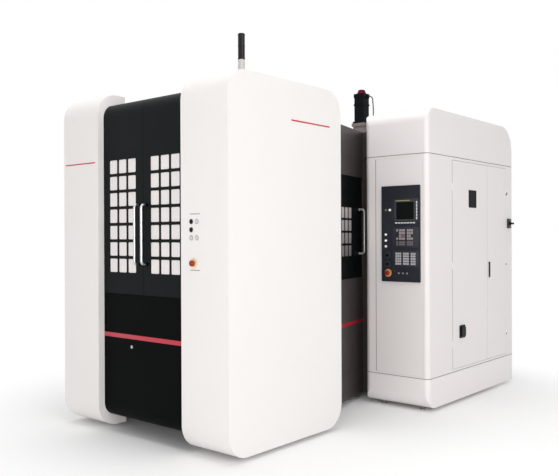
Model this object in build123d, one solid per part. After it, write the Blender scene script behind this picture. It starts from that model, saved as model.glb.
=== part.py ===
from build123d import *
import math
import os

# A horizontal CNC machining centre with a two-pallet loading station at the front, a slanted
# operator side with a sliding door, and an electrical cabinet with the operator panel.
# Millimetres. +Z is up, the loading station faces -Y and the cabinet stands on the +X side.
# The origin lies on the floor, at the centre of the rectangle of floor anchors and on the
# centre line of the loading station. A cut runs past the face that it opens, and joined blocks
# reach into each other, by the value past.

# Overall layout
floor_gap = 30.0
sheet = 2.5
clearance = 0.3
past = 1.0
station_width = 1921.0
station_front = -2017.0
cover_height = 2700.0
cover_top = floor_gap + cover_height
cover_side = station_width / 2
anchor_x = 400.0
anchor_y = 1150.0
rear_bed_start = 450.0

# Front covers
pillar_width = 470.0
cover_radius = 184.0
right_cover_depth = 1317.5
left_cover_depth = 273.0
flange_depth = 273.0
opening_edge = cover_side - pillar_width

# Dark front, set back between the covers
front_recess = 58.7
front_inset = 84.5
front_radius = 114.0
flange_play = 1.5
front_lap = 9.5
front_plane = station_front + front_recess
front_top = cover_top - front_inset
front_bottom = floor_gap + front_inset
front_skin = 3.0
roof_reach = 190.0

# Front door leaves
leaf_bottom = 1118.0
leaf_gap = 3.0
leaf_overlap = 17.5
leaf_depth = 40.0
leaf_stile = 60.0
leaf_edge = 18.0
pane_columns = 3
pane_rows = 7
pane_width = 94.0
pane_height = 107.0
pane_pitch_x = 115.0
pane_pitch_z = 130.5
pane_radius = 9.0
pane_middle_x = 251.0
pane_middle_z = 1733.0
window_thickness = 5.0
window_lap = 22.0
window_play = 1.0
wing_low = 20.0
wing_high = 70.0
leaf_runner_places = (0.16, 0.84)
leaf_runner_half = 40.0
leaf_runner_depth = 22.0
leaf_runner_gap = 10.0

# Bar handles
bar_radius = 10.5
bar_stand_off = 52.0
bar_bend = 24.0
bar_flange = 4.0
bar_flange_reach = 5.0
bar_stud = 18.0
bar_stud_radius = 5.0
front_bar_x = 41.0
front_bar_low = 1358.0
front_bar_high = 1812.0
side_bar_low = 1398.0
side_bar_high = 1822.0

# Station frame
post_size = 60.0
post_y = -1900.0
beam_low = 2515.0
beam_top = 2575.0
rail_width = 14.0
rail_height = 37.0
rail_end = 12.0
sill_gap = 6.0
sill_top = leaf_bottom - sill_gap
sill_height = 50.0
sill_lip = 14.0
guide_width = 6.0
guide_height = 16.0
guide_shift = 4.0
foot_beam_low = 140.0
foot_beam_top = 200.0
roof_bracket = 40.0
roof_bracket_near = 240.0
roof_bracket_far = 700.0
roof_bracket_step = 200.0
roof_bracket_lap = 10.0
roof_bracket_height = 30.0

# Station controls on the right front cover
station_column_a = 598.0
station_column_b = 655.0
station_row_top = 1675.0
station_row_middle = 1617.0
station_row_low = 1560.0
button_radius = 14.0
button_shaft = 10.0
button_proud = 6.0
button_travel = 3.0
button_edge = 1.2
button_depth = 12.0
nut_thickness = 3.0
nut_reach = 4.0
hole_reach = 10.0
pilot_edge = 2.5
pilot_depth = 30.0
stop_x = 620.5
stop_z = 1380.0
stop_radius = 22.0
stop_shaft = 11.0
stop_proud = 27.0
stop_travel = 4.0
stop_play = 1.0
stop_skirt = 6.0
stop_skirt_radius = 16.0
stop_edge = 6.0
stop_depth = 20.0

# Slanted operator side
wall_angle = 14.08
wall_start_x = 710.5
wall_start_y = station_front + right_cover_depth
wall_bed_gap = 19.5
wall_end_y = rear_bed_start - wall_bed_gap
wall_length = (wall_end_y - wall_start_y) / math.cos(math.radians(wall_angle))
wall_play = 3.0
wall_top = 2580.0
wall_bottom = 50.0
wall_sheet = 4.0
wall_flange = 46.0
door_inset = 8.0
door_depth = 35.0
door_front = 280.0
door_rear_margin = 20.0
door_rear = wall_length - door_rear_margin
door_edge = 45.0
door_panel_gap = 50.0
door_panel_top = 60.0
door_rail_half = 3.5
door_rail_gap = 6.0
door_rail_web = 20.0
door_rail_bite = 12.0
door_rail_root = 8.0
door_rail_end = 10.0
door_bottom = 1160.0
door_top = 2140.0
door_travel = 700.0
door_lap = 18.0
side_pane_columns = 5
side_pane_rows = 4
side_pane_width = 77.0
side_pane_height = 100.0
side_pane_pitch_y = 92.0
side_pane_pitch_z = 118.0
side_pane_margin = 283.0
side_pane_end = door_rear - side_pane_margin
side_pane_bottom = 1380.0
side_bar_margin = 73.0
side_bar_place = door_rear - side_bar_margin
side_frame_drop = 10.0

# Enclosure behind the station
shell_left = -930.0
shell_back = 1560.0
shell_sheet = 3.0
shell_roof_end = 620.0
cabinet_gap = 18.0
infill_width = 228.0
shell_low = 60.0
spacer_margin = 660.0
spacer_y = shell_back - spacer_margin
spacer_size = 90.0
spacer_low = 600.0
spacer_high = 2100.0

# Bed
bed_bottom = 70.0
front_bed_half = 330.0
front_bed_start = -840.0
rear_bed_end = 1380.0
rear_bed_half = 570.0
front_bed_top = 560.0
rear_bed_top = 700.0
bed_wall = 45.0
foot_half = 460.0
foot_length = 200.0
foot_top = 200.0
pedestal_start = -1250.0
pedestal_top = 600.0
bed_pocket_rows = 2
bed_pocket_columns = 2
x_trough_depth = 85.0
bearing_top_step = 5.0

# Levelling pads
pad_length = 220.0
pad_width = 150.0
pad_thickness = 22.0
pad_screw = 16.0
pad_collar = 32.0
pad_collar_height = 14.0
anchor_radius = 11.0
anchor_offset = 65.0
anchor_window = 140.0
anchor_boss = 60.0
anchor_relief = 25.0

# Linear guides and ball screws
guide_rail_width = 34.0
guide_rail_height = 38.0
rail_waist = (0.35, 0.6)
rail_waist_depth = 4.0
rail_margin = 8.0
rail_overrun = 42.0
runner_width = 90.0
runner_clear = 6.0
z_rail_x = 210.0
x_rail_half_gap = 270.0
trough_half = 100.0
z_screw_height = 500.0
z_screw_radius = 16.0
z_screw_start = -780.0
z_bearing_rear = 235.0
x_screw_height = 655.0
x_screw_radius = 20.0
x_screw_y = 1015.0
bearing_length = 40.0
motor_size = 130.0
motor_length = 160.0
motor_gap = 14.0
motor_corner = 14.0
motor_cap = 8.0
motor_cap_step = 10.0
motor_plug = 22.0
motor_plug_length = 46.0
motor_plug_end = 22.0

# Table, pallets and pallet changer
table_y = -37.0
z_travel = 520.0
saddle_bottom = 605.0
saddle_half_x = 258.0
saddle_half_y = 260.0
saddle_top = 800.0
saddle_edge = 30.0
nut_half = 60.0
nut_drop = 55.0
runner_half = 50.0
turret_radius = 235.0
turret_top = 900.0
platen_radius = 195.0
platen_top = 930.0
neck_radius = 140.0
spigot_radius = 84.0
spigot_depth = 50.0
spigot_bore = 60.0
pallet_bottom = 985.0
pallet_size = 400.0
pallet_thickness = 80.0
pallet_edge = 12.0
slot_pitch = 90.0
slot_count = 4
slot_width = 14.0
slot_depth = 30.0
slot_head = 24.0
slot_head_height = 12.0
changer_y = -1017.0
changer_reach = 460.0
lift_radius = 80.0
lift_low = 250.0
lift_sump = 20.0
lift_flange_radius = 120.0
lift_flange = 30.0
lift_top = 935.0
fork_bottom = 940.0
fork_top = 978.0
tine_inner = 165.0
tine_width = 34.0
tine_end = 645.0
fork_hub_half = 180.0
pin_radius = 10.0
pin_spread = 150.0
partition_half = 660.0
partition_thickness = 24.0
partition_skin = 3.0
partition_top = 2500.0
partition_rib = 40.0

# Column, head and spindle
column_half = 270.0
column_front = 700.0
column_back = 1330.0
column_bottom = 745.0
column_base = 155.0
column_sill = column_bottom + column_base
column_top = 2600.0
column_beam = 300.0
column_lintel = column_top - column_beam
column_runner_half = 60.0
column_nut_drop = 50.0
column_pocket_depth = 25.0
column_pocket_edge = 60.0
column_pocket_gap = 40.0
leg_inner = 170.0
column_back_wall = 40.0
way_x = 220.0
way_low = 890.0
way_high = 1930.0
spindle_z = 1400.0
head_half = 150.0
head_front = 440.0
head_back = 1120.0
head_height = 320.0
head_edge = 25.0
ear_half = 280.0
ear_front = 615.0
ear_back = 655.0
ear_height = 440.0
ear_runner = 110.0
spindle_bore_end = 60.0
nose_radius = 105.0
nose_length = 25.0
spindle_radius = 60.0
spindle_front = 403.0
spindle_back = 900.0
spindle_flange = 64.0
spindle_step = 2.0
spindle_key_half = 8.0
spindle_key_height = 7.5
spindle_key_place = 34.0
spindle_key_proud = 9.0
taper_mouth = 22.2
taper_end = 12.0
taper_depth = 68.0
y_screw_radius = 20.0
y_screw_y = 1053.0
y_screw_low = 40.0
y_screw_end = 60.0
y_coupling = 60.0
y_coupling_low = 40.0
y_coupling_wall = 18.0
mount_half = 78.0
mount_plate = 33.0
mount_groove = 25.0
mount_groove_depth = 12.0
mount_window_edge = 12.0
mount_window_low = 35.0
mount_top = 2780.0
mount_wall = 28.0
servo_flange_half = 73.0
servo_flange = 20.0
servo_flange_corner = 12.0
servo_half = 65.0
servo_body_half = 60.5
servo_corner = 14.0
servo_top = 3098.0
servo_head = 40.0
servo_waist = 18.0
servo_waist_low = 192.0
servo_cap_base = 52.0
servo_cap_radius = 34.0
servo_cap_height = 46.0
servo_cap_edge = 9.0
servo_plug_half = 18.0
servo_plug_y = 25.0
servo_plug_top = 6.0
servo_plug_height = 38.0
servo_plug_proud = 7.0

# Motor cable
cable_radius = 6.0
cable_drop_x = 128.0
cable_bow = 6.0
cable_bend = 50.0
cable_sweep = 400.0
cable_bow_drop = 150.0
cable_straight = 100.0
gland_radius = 15.0
gland_height = 28.0

# Tool magazine and tool changer
disc_y = 790.0
disc_z = 1680.0
disc_x = -850.0
disc_thickness = 28.0
disc_hub = 70.0
disc_bore = 40.0
disc_rim = 20.0
disc_hub_wall = 30.0
disc_window_count = 4
disc_window_radius = 62.0
disc_window_circle = 181.5
hub_play = 1.0
hub_cap = 12.0
pot_circle = 330.0
pot_count = 20
pot_radius = 40.0
pot_length = 105.0
stored_tool_radius = 31.0
stored_shank_radius = 17.0
stored_flange = 24.0
stored_length = 110.0
pot_lip = 3.0
pot_lip_wall = 4.0
stand_x = -925.0
stand_width = 70.0
stand_y = 690.0
stand_depth = 200.0
stand_foot = 20.0
stand_foot_length = 260.0
stand_foot_reach = 60.0
stand_tie = 500.0
stand_top = 2170.0
stand_beam = 80.0
stand_arm_y = 440.0
stand_arm_depth = 150.0
arm_x = -510.0
arm_reach = 260.0
arm_width = 64.0
arm_front = 340.0
arm_thickness = 35.0
arm_grip_radius = 32.0
arm_grip_ring = 50.0
arm_hub_radius = 51.0
arm_mouth = 54.0
arm_shaft_radius = 35.0
arm_shaft_back = 560.0
gearbox_half = 88.0
gearbox_front = 430.0
gearbox_back = 600.0
gearbox_height = 200.0
gearbox_step = 8.0
gearbox_edge = 20.0
shaft_end_gap = 20.0

# Electrical cabinet
cabinet_bed_gap = 33.5
cabinet_left = rear_bed_half + cabinet_bed_gap
cabinet_width = 667.0
cabinet_front = 184.0
cabinet_depth = 1833.0
cabinet_height = 2676.0
cabinet_sheet = 3.0
cabinet_left_radius = 62.0
cabinet_right_radius = 42.0
cabinet_curve = 120.0
cabinet_back_curve = 245.0
cabinet_right = cabinet_left + cabinet_width
cabinet_back = cabinet_front + cabinet_depth
cabinet_top = floor_gap + cabinet_height
cap_height = 408.0
cap_seam = cabinet_top - cap_height
skirt_height = 265.0
skirt_seam = floor_gap + skirt_height
seam_width = 4.0
seam_lap = 16.0
front_panel_margin = 126.5
front_panel_left = cabinet_left + front_panel_margin
front_panel_edge = 50.0
front_panel_reach = 5.0
ledge_reach = 10.0
ledge_lap = 12.0
front_door_gap = 3.0
cabinet_lip = 28.0
cabinet_flange = 22.0
cabinet_foot = 22.0
cabinet_foot_inset = 130.0
door_margin = 27.0
door_low = skirt_seam + door_margin
door_high = cap_seam - door_margin
door_pan = 20.0
door_skin = 2.0
large_door_margin = 461.0
large_door_start = cabinet_front + large_door_margin
small_door_margin = 149.0
small_door_end = cabinet_back - small_door_margin
small_door_width = 463.0
door_meeting = small_door_end - small_door_width
knuckle_radius = 6.0
knuckle_pin = 2.5
knuckle_length = 46.0
knuckle_count = 3
knuckle_margin = 220.0
knuckle_play = 1.0
hinge_pin_foot = 15.0
window_margin = 341.0
window_start = large_door_start + window_margin
window_drop = 434.0
window_low = door_high - window_drop
window_width = 162.0
window_height = 169.0
window_edge = 12.0
window_proud = 4.0
window_corner = 8.0
outlet_margin = 138.0
outlet_start = large_door_start + outlet_margin
outlet_rise = 278.0
outlet_low = door_low + outlet_rise
outlet_width = 110.0
outlet_height = 120.0
outlet_edge = 12.0
outlet_proud = 8.0
outlet_corner = 10.0
outlet_lid_edge = 16.0
outlet_lid = 14.0
outlet_depth = 40.0
handle_margin = 38.0
handle_y = door_meeting + handle_margin
handle_rise = 970.0
handle_z = door_low + handle_rise
handle_length = 156.0
handle_width = 20.0
handle_proud = 10.0
handle_thickness = 6.0
handle_shaft = 8.0
handle_shaft_length = 18.0
switch_margin = 92.0
switch_y = cabinet_back - switch_margin
switch_z = 1693.0
switch_plate_width = 66.0
switch_plate_height = 100.0
switch_plate_proud = 20.0
switch_plate_corner = 6.0
switch_hub_radius = 22.0
switch_hub_height = 6.0
switch_grip_length = 56.0
switch_grip_width = 20.0
switch_grip_height = 28.0
switch_grip_corner = 9.0
switch_shaft = 9.0
switch_shaft_end = 24.0

# Operator panel
panel_margin = 197.0
panel_width = 396.0
panel_height = 868.0
panel_left = cabinet_left + panel_margin
panel_right = panel_left + panel_width
panel_bottom = 1152.0
panel_top = panel_bottom + panel_height
panel_proud = 14.0
panel_depth = 60.0
panel_rim = 9.0
panel_recess = 4.0
panel_wall = 4.0
panel_corner = 6.0
panel_recess_corner = 3.0
panel_hole = 30.0
screen_corner = 5.0
screen_proud = 5.0
screen_sunk = 3.0
key_proud = 3.0
key_plate = 2.0
panel_button_radius = 12.0
panel_button_height = 9.0
panel_button_edge = 2.0
panel_stop_margin = 67.0
panel_stop_x = panel_left + panel_stop_margin
panel_stop_rise = 78.0
panel_stop_z = panel_bottom + panel_stop_rise
dial_margin = 60.0
dial_x = panel_left + dial_margin
feed_dial_rise = 238.0
feed_dial_z = panel_bottom + feed_dial_rise
spindle_dial_rise = 158.0
spindle_dial_z = panel_bottom + spindle_dial_rise
dial_radius = 17.0
dial_skirt = 4.0
dial_grip_radius = 12.2
dial_height = 16.0
dial_pointer_half = 3.0
dial_pointer_reach = 12.0
dial_pointer_proud = 3.0
dial_shaft = 4.0
dial_shaft_length = 18.0

# Places on the operator panel, from its lower left corner: left, right, low and high edge
screen_frame = (138.0, 352.0, 550.0, 738.0)
screen = (156.0, 335.0, 564.0, 718.0)

# Key blocks: the same four edges, then columns, rows and a key's share of its pitch
key_blocks = [
    (140.0, 350.0, 524.0, 540.0, 7, 1, 0.72),
    (357.0, 371.0, 560.0, 726.0, 1, 6, 0.72),
    (150.0, 344.0, 304.0, 474.0, 9, 7, 0.78),
    (133.0, 200.0, 118.0, 260.0, 3, 5, 0.78),
    (212.0, 279.0, 118.0, 260.0, 3, 5, 0.78),
    (291.0, 363.0, 118.0, 260.0, 3, 5, 0.78),
    (180.0, 264.0, 44.0, 70.0, 3, 1, 0.7),
    (29.0, 51.0, 706.0, 728.0, 1, 1, 0.9),
    (71.0, 93.0, 706.0, 728.0, 1, 1, 0.9),
]
panel_buttons = [(40.0, 657.0), (82.0, 657.0), (39.0, 428.0), (39.0, 373.0), (39.0, 320.0)]

# Signal lamp
lamp_margin = 150.0
lamp_x = cover_side - lamp_margin
lamp_setback = 300.0
lamp_y = station_front + lamp_setback
lamp_radius = 25.0
lamp_base_height = 110.0
lamp_lens_height = 190.0
lamp_foot_height = 8.0
lamp_foot_reach = 12.0
lamp_dome = 8.0
lamp_ring_places = (0.02, 0.5, 0.93)
lamp_ring_height = 6.0
lamp_ring_reach = 1.5


def block(x, y, z):
    """A box between the low and high limits of each axis."""
    size = [high - low for low, high in (x, y, z)]
    middle = [(low + high) / 2 for low, high in (x, y, z)]
    return Pos(*middle) * Box(*size)


def rod(start, direction, length, radius):
    """A round bar that starts at a point and runs along a direction."""
    place = Plane(origin=start, z_dir=direction)
    return place * Cylinder(radius, length, align=(Align.CENTER, Align.CENTER, Align.MIN))


def front_plane_at(x, y, z):
    """A drawing plane that faces the front, with its own x to the right and y up."""
    return Plane(origin=(x, y, z), x_dir=(1, 0, 0), z_dir=(0, -1, 0))


def side_plane_at(x, y, z):
    """A drawing plane that faces +X, with its own x towards the back and y up."""
    return Plane(origin=(x, y, z), x_dir=(0, 1, 0), z_dir=(1, 0, 0))


def side_slab(x_low, x_high, y_low, y_high, z_low, z_high, radius):
    """A slab along X whose side view is a rectangle with all its corners rounded."""
    middle = side_plane_at(x_low, (y_low + y_high) / 2, (z_low + z_high) / 2)
    outline = RectangleRounded(y_high - y_low, z_high - z_low, radius)
    return extrude(middle * outline, x_high - x_low)


def rail(x, y, z):
    """A guide rail between limits, with a waist ground along both sides."""
    body = block(x, y, z)
    waist = [z[0] + (z[1] - z[0]) * share for share in rail_waist]
    if x[1] - x[0] > y[1] - y[0]:
        for edge in y:
            body -= block(x, (edge - rail_waist_depth, edge + rail_waist_depth), waist)
    else:
        for edge in x:
            body -= block((edge - rail_waist_depth, edge + rail_waist_depth), y, waist)
    return body


def servo(centre, direction, half, length):
    """A square servo motor body with a smaller end cap and a connector box."""
    place = Plane(origin=centre, z_dir=direction)
    body = extrude(RectangleRounded(2 * half, 2 * half, motor_corner), length - motor_cap)
    cap_width = 2 * (half - motor_cap_step)
    cap = extrude(RectangleRounded(cap_width, cap_width, motor_corner), motor_cap)
    body += Pos(0, 0, length - motor_cap) * cap
    plug_middle = length - motor_plug_end - motor_plug_length / 2
    plug = Box(half, motor_plug, motor_plug_length)
    body += Pos(0, half + motor_plug / 2 - past, plug_middle) * plug
    return place * body


# Covers of the loading station


def hollow_cover(x_outer, x_inner, depth, rear_open):
    """A wrapped sheet cover: a rounded side outline, one closed outer face and an inner flange.

    The flange frames the dark front. Behind it the inner side stays open, up to the roof when
    the cover has a rear.
    """
    low, high = sorted((x_outer, x_inner))
    back = station_front + depth
    if rear_open:
        back += 2 * cover_radius
    shell = side_slab(low, high, station_front, back, floor_gap, cover_top, cover_radius)
    inside_low = low if x_inner < x_outer else low + sheet
    inside_high = high - sheet if x_inner < x_outer else high
    shell -= side_slab(
        inside_low,
        inside_high,
        station_front + sheet,
        back - sheet,
        floor_gap + sheet,
        cover_top - sheet,
        cover_radius - sheet,
    )
    toward = 1 if x_outer > x_inner else -1
    flange_x = sorted((x_inner, x_inner + toward * sheet))
    flange = side_slab(*flange_x, station_front, back, floor_gap, cover_top, cover_radius)
    flange -= block(
        (flange_x[0] - past, flange_x[1] + past),
        (station_front + flange_depth, back + past),
        (floor_gap - past, cover_top + past if rear_open else front_top + flange_play),
    )
    shell += flange
    shell -= side_slab(
        flange_x[0] - past,
        flange_x[1] + past,
        front_plane - flange_play,
        front_plane + depth * 2,
        front_bottom - flange_play,
        front_top + flange_play,
        front_radius + flange_play,
    )
    if rear_open:
        shell -= block(
            (low - past, high + past),
            (station_front + depth, back + past),
            (floor_gap - past, cover_top + past),
        )
    return shell


def make_left_front_cover():
    return hollow_cover(-cover_side, -opening_edge, left_cover_depth, True)


def make_right_front_cover():
    """The deep cover on the operator's side, open inside where the side door slides in."""
    cover = hollow_cover(cover_side, opening_edge, right_cover_depth, False)
    rear = station_front + right_cover_depth
    cover -= block(
        (opening_edge - past, wall_start_x + wall_play),
        (rear - 2 * sheet, rear + past),
        (floor_gap + cover_radius, cover_top - cover_radius),
    )
    outside = station_front - past
    for column, row in station_button_places() + station_lamp_places():
        cover -= rod((column, outside, row), (0, 1, 0), hole_reach, button_shaft + clearance)
    cover -= rod((stop_x, outside, stop_z), (0, 1, 0), hole_reach, stop_shaft + clearance)
    return cover


def station_button_places():
    return [(station_column_a, station_row_top), (station_column_a, station_row_middle)]


def station_lamp_places():
    return [
        (station_column_b, station_row_top),
        (station_column_a, station_row_low),
        (station_column_b, station_row_low),
    ]


def push_button(x, y, z, proud, cap, shaft, depth):
    """A button facing the front: a cap that stands proud and a shaft through the sheet."""
    gap = button_travel + clearance
    cap_length = proud - gap
    body = rod((x, y - proud, z), (0, 1, 0), cap_length, cap)
    body = chamfer(body.edges().group_by(Axis.Y)[0], button_edge)
    body += rod((x, y - gap, z), (0, 1, 0), gap + depth, shaft)
    body += rod((x, y + depth, z), (0, 1, 0), nut_thickness, shaft + nut_reach)
    return body


def stop_button(x, y, z):
    """A mushroom head with a domed top on a shaft through the sheet."""
    neck = stop_travel + stop_play
    head = rod((x, y - stop_proud, z), (0, 1, 0), stop_proud - neck - stop_skirt, stop_radius)
    head = fillet(head.edges().group_by(Axis.Y)[0], stop_edge)
    body = head + rod((x, y - neck - stop_skirt, z), (0, 1, 0), stop_skirt, stop_skirt_radius)
    body += rod((x, y - neck, z), (0, 1, 0), neck + stop_depth, stop_shaft)
    body += rod((x, y + stop_depth, z), (0, 1, 0), nut_thickness, stop_shaft + nut_reach)
    return body


def make_station_buttons():
    made = []
    for x, z in station_button_places():
        made.append(push_button(x, station_front, z, button_proud, button_radius, button_shaft, button_depth))
    return made


def make_station_lamps():
    """The pilot lamps beside the buttons, fixed in the cover."""
    lamps = []
    for column, row in station_lamp_places():
        lens = rod((column, station_front - button_proud, row), (0, 1, 0), button_proud, button_radius)
        lens = fillet(lens.edges().group_by(Axis.Y)[0], pilot_edge)
        lens += rod((column, station_front, row), (0, 1, 0), pilot_depth, button_shaft)
        lamps.append(lens)
    return Compound(lamps)


# Dark front: lower panel, leaves, windows and handles


def front_slab(x_low, x_high, inset):
    """The dark front's side outline as a solid, drawn in by an inset."""
    back = front_plane + 2 * roof_reach + 2 * front_radius
    return side_slab(
        x_low,
        x_high,
        front_plane + inset,
        back - inset,
        front_bottom + inset,
        front_top - inset,
        front_radius - inset,
    )


def front_band(x_low, x_high, z_low, z_high):
    """A curved sheet along the dark front's side outline, kept between two heights."""
    band = front_slab(x_low, x_high, 0)
    band -= front_slab(x_low - past, x_high + past, front_skin)
    keep = block((x_low, x_high), (front_plane - past, front_plane + roof_reach), (z_low, z_high))
    return band & keep


def make_lower_front_panel():
    side = opening_edge + front_lap
    panel = front_band(-side, side, front_bottom - past, leaf_bottom - leaf_gap)
    for end in (-1, 1):
        inner = end * (side - front_skin)
        panel += block(
            sorted((inner, end * side)),
            (front_plane + past, post_y + post_size),
            (foot_beam_top + wing_low, leaf_bottom - wing_high),
        )
    return panel


def grid_of(columns, rows, pitch_x, pitch_z, shape):
    """Copies of a drawing in columns and rows, as one drawing."""
    return Sketch() + GridLocations(pitch_x, pitch_z, columns, rows) * shape


def make_front_leaf(side):
    """One sliding leaf: a skin that curves into the roof, a rear frame and punched panes."""
    near, far = leaf_gap / 2, opening_edge + leaf_overlap
    x_low, x_high = sorted((side * near, side * far))
    leaf = front_band(x_low, x_high, leaf_bottom, front_top + past)
    back = front_plane + leaf_depth
    inside = front_plane + past
    window_half_x = (pane_columns * pane_pitch_x) / 2 + window_lap
    window_half_z = (pane_rows * pane_pitch_z) / 2 + window_lap
    middle_x = side * pane_middle_x
    frame = block((x_low, x_high), (inside, back), (leaf_bottom, front_top - front_radius))
    frame -= block(
        (middle_x - window_half_x, middle_x + window_half_x),
        (front_plane, back + past),
        (pane_middle_z - window_half_z, pane_middle_z + window_half_z),
    )
    frame -= block(
        (x_low + leaf_edge, x_high - leaf_edge),
        (front_plane + front_skin, back + past),
        (pane_middle_z + window_half_z + leaf_stile, front_top - front_radius - leaf_stile),
    )
    leaf += frame
    guide_y = guide_middle_y()
    leaf -= block(
        (x_low - past, x_high + past),
        (guide_y - guide_width / 2 - clearance, guide_y + guide_width / 2 + clearance),
        (leaf_bottom - past, sill_top + guide_height + clearance),
    )
    rail_y = rail_middle_y()
    below_skin = front_slab(x_low, x_high, front_skin / 2)
    for place in leaf_runner_places:
        runner_x = x_low + (x_high - x_low) * place
        runner = block(
            (runner_x - leaf_runner_half, runner_x + leaf_runner_half),
            (rail_y - leaf_runner_depth, rail_y + leaf_runner_depth),
            (beam_top + leaf_runner_gap, front_top),
        )
        leaf += runner & below_skin
    leaf -= block(
        (x_low - past, x_high + past),
        (rail_y - rail_width / 2 - clearance, rail_y + rail_width / 2 + clearance),
        (beam_top, beam_top + rail_height + clearance),
    )
    pane = RectangleRounded(pane_width, pane_height, pane_radius)
    holes = grid_of(pane_columns, pane_rows, pane_pitch_x, pane_pitch_z, pane)
    cut = front_plane_at(middle_x, front_plane + front_skin + past, pane_middle_z) * holes
    leaf -= extrude(cut, front_skin + 2 * past)
    for height in (front_bar_low, front_bar_high):
        start = (side * front_bar_x, front_plane - past, height)
        leaf -= rod(start, (0, 1, 0), bar_stud + 2 * past, bar_stud_radius + clearance)
    return leaf


def make_front_window(side):
    """The clear sheet behind the punched panes of a leaf."""
    half_x = (pane_columns * pane_pitch_x) / 2 + window_lap - window_play
    half_z = (pane_rows * pane_pitch_z) / 2 + window_lap - window_play
    middle_x = side * pane_middle_x
    return block(
        (middle_x - half_x, middle_x + half_x),
        (front_plane + front_skin, front_plane + front_skin + window_thickness),
        (pane_middle_z - half_z, pane_middle_z + half_z),
    )


def bar_handle(low, high):
    """A vertical tube handle about x = 0 that stands off towards -Y from y = 0."""
    path = FilletPolyline(
        (0, 0, low),
        (0, -bar_stand_off, low),
        (0, -bar_stand_off, high),
        (0, 0, high),
        radius=bar_bend,
    )
    start = Plane(origin=(0, 0, low), z_dir=(0, -1, 0))
    bar = sweep(start * Circle(bar_radius), path=path)
    for height in (low, high):
        bar += rod((0, -bar_flange, height), (0, 1, 0), bar_flange, bar_radius + bar_flange_reach)
        bar += rod((0, 0, height), (0, 1, 0), bar_stud, bar_stud_radius)
    return bar


def make_front_handle(side):
    return Pos(side * front_bar_x, front_plane, 0) * bar_handle(front_bar_low, front_bar_high)


# Station frame


def guide_middle_y():
    return front_plane + leaf_depth / 2 + guide_shift


def rail_middle_y():
    return post_y + post_size / 2


def make_station_frame():
    """Posts, head beam with the door rail, sill with the guide, foot beams and the roof sheet."""
    inner = opening_edge + front_lap
    post_span = (post_y, post_y + post_size)
    reach = cover_side - sheet
    frame = block((-reach, reach), post_span, (beam_low, beam_top))
    for side in (-1, 1):
        post = sorted((side * inner, side * (inner + post_size)))
        frame += block(post, post_span, (foot_beam_low, beam_low))
        foot = sorted((side * foot_half, side * (foot_half - post_size)))
        frame += block(foot, (post_y, pedestal_start), (foot_beam_low, foot_beam_top))
    frame += block(
        (-inner - post_size, inner + post_size), post_span, (foot_beam_low, foot_beam_top)
    )
    guide_y = guide_middle_y()
    sill = (guide_y - sill_lip, post_y + front_skin)
    frame += block((-reach, reach), sill, (sill_top - sill_height, sill_top))
    frame += block(
        (-reach + rail_end, reach - rail_end),
        (guide_y - guide_width / 2, guide_y + guide_width / 2),
        (sill_top, sill_top + guide_height),
    )
    rail_y = rail_middle_y()
    frame += block(
        (-reach + rail_end, reach - rail_end),
        (rail_y - rail_width / 2, rail_y + rail_width / 2),
        (beam_top, beam_top + rail_height),
    )
    start = front_plane + roof_reach + leaf_gap
    end = wall_start_y
    roof_low = front_top - front_skin
    width = (shell_left, opening_edge - sheet)
    frame += block(width, (start, end), (roof_low, front_top))
    frame += block(width, (end - front_skin, end), (wall_top - shell_sheet, front_top))
    frame += block((shell_left, shell_left + front_skin), (start, end), (wall_top, front_top))
    right_bracket = roof_bracket_near + roof_bracket_step
    bracket_start = start + roof_bracket_lap
    bracket_end = bracket_start + roof_bracket
    for x in (-roof_bracket_far, -roof_bracket_near, roof_bracket_near, right_bracket):
        bracket = (x - roof_bracket / 2, x + roof_bracket / 2)
        height = (beam_top - roof_bracket_height, beam_top)
        frame += block(bracket, (post_span[1] - past, bracket_end), height)
        frame += block(bracket, (bracket_start, bracket_end), (beam_top - past, roof_low + past))
    return frame


# Slanted operator side: built along the wall, then set in place


def wall_place():
    return Location((wall_start_x, wall_start_y, 0), (0, 0, wall_angle))


def make_side_wall():
    """The fixed slanted wall with its door opening, edge flanges and the two door rails."""
    wall = block((-wall_sheet, 0), (wall_play, wall_length), (wall_bottom, wall_top))
    opening = (door_front + door_lap, door_rear + wall_play)
    edge_lap = door_lap / 2
    wall -= block((-wall_sheet - past, past), opening, (door_bottom + edge_lap, door_top - edge_lap))
    wall += block(
        (-wall_flange, 0),
        (wall_length - wall_sheet, wall_length),
        (wall_bottom, wall_top - shell_sheet),
    )
    tongue_middle = -door_inset - door_depth / 2
    tongue = (tongue_middle - door_rail_half, tongue_middle + door_rail_half)
    rail_span = (door_front - door_travel, door_rear + door_rail_end)
    for edge, away in ((door_bottom, -1), (door_top, 1)):
        web = sorted((edge + away * door_rail_gap, edge + away * door_rail_web))
        stem = sorted((edge - away * door_rail_bite, edge + away * door_rail_root))
        wall += block((tongue[0], past - wall_sheet), rail_span, web)
        wall += block(tongue, rail_span, stem)
    step = block(
        (wall_end_x() - shell_sheet, cabinet_left - cabinet_gap),
        (wall_end_y - shell_sheet, wall_end_y),
        (wall_bottom, wall_top),
    )
    return wall_place() * wall + step


def wall_end_x():
    """Where the rear outer corner of the slanted wall lies."""
    return wall_start_x - wall_length * math.sin(math.radians(wall_angle))


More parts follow.
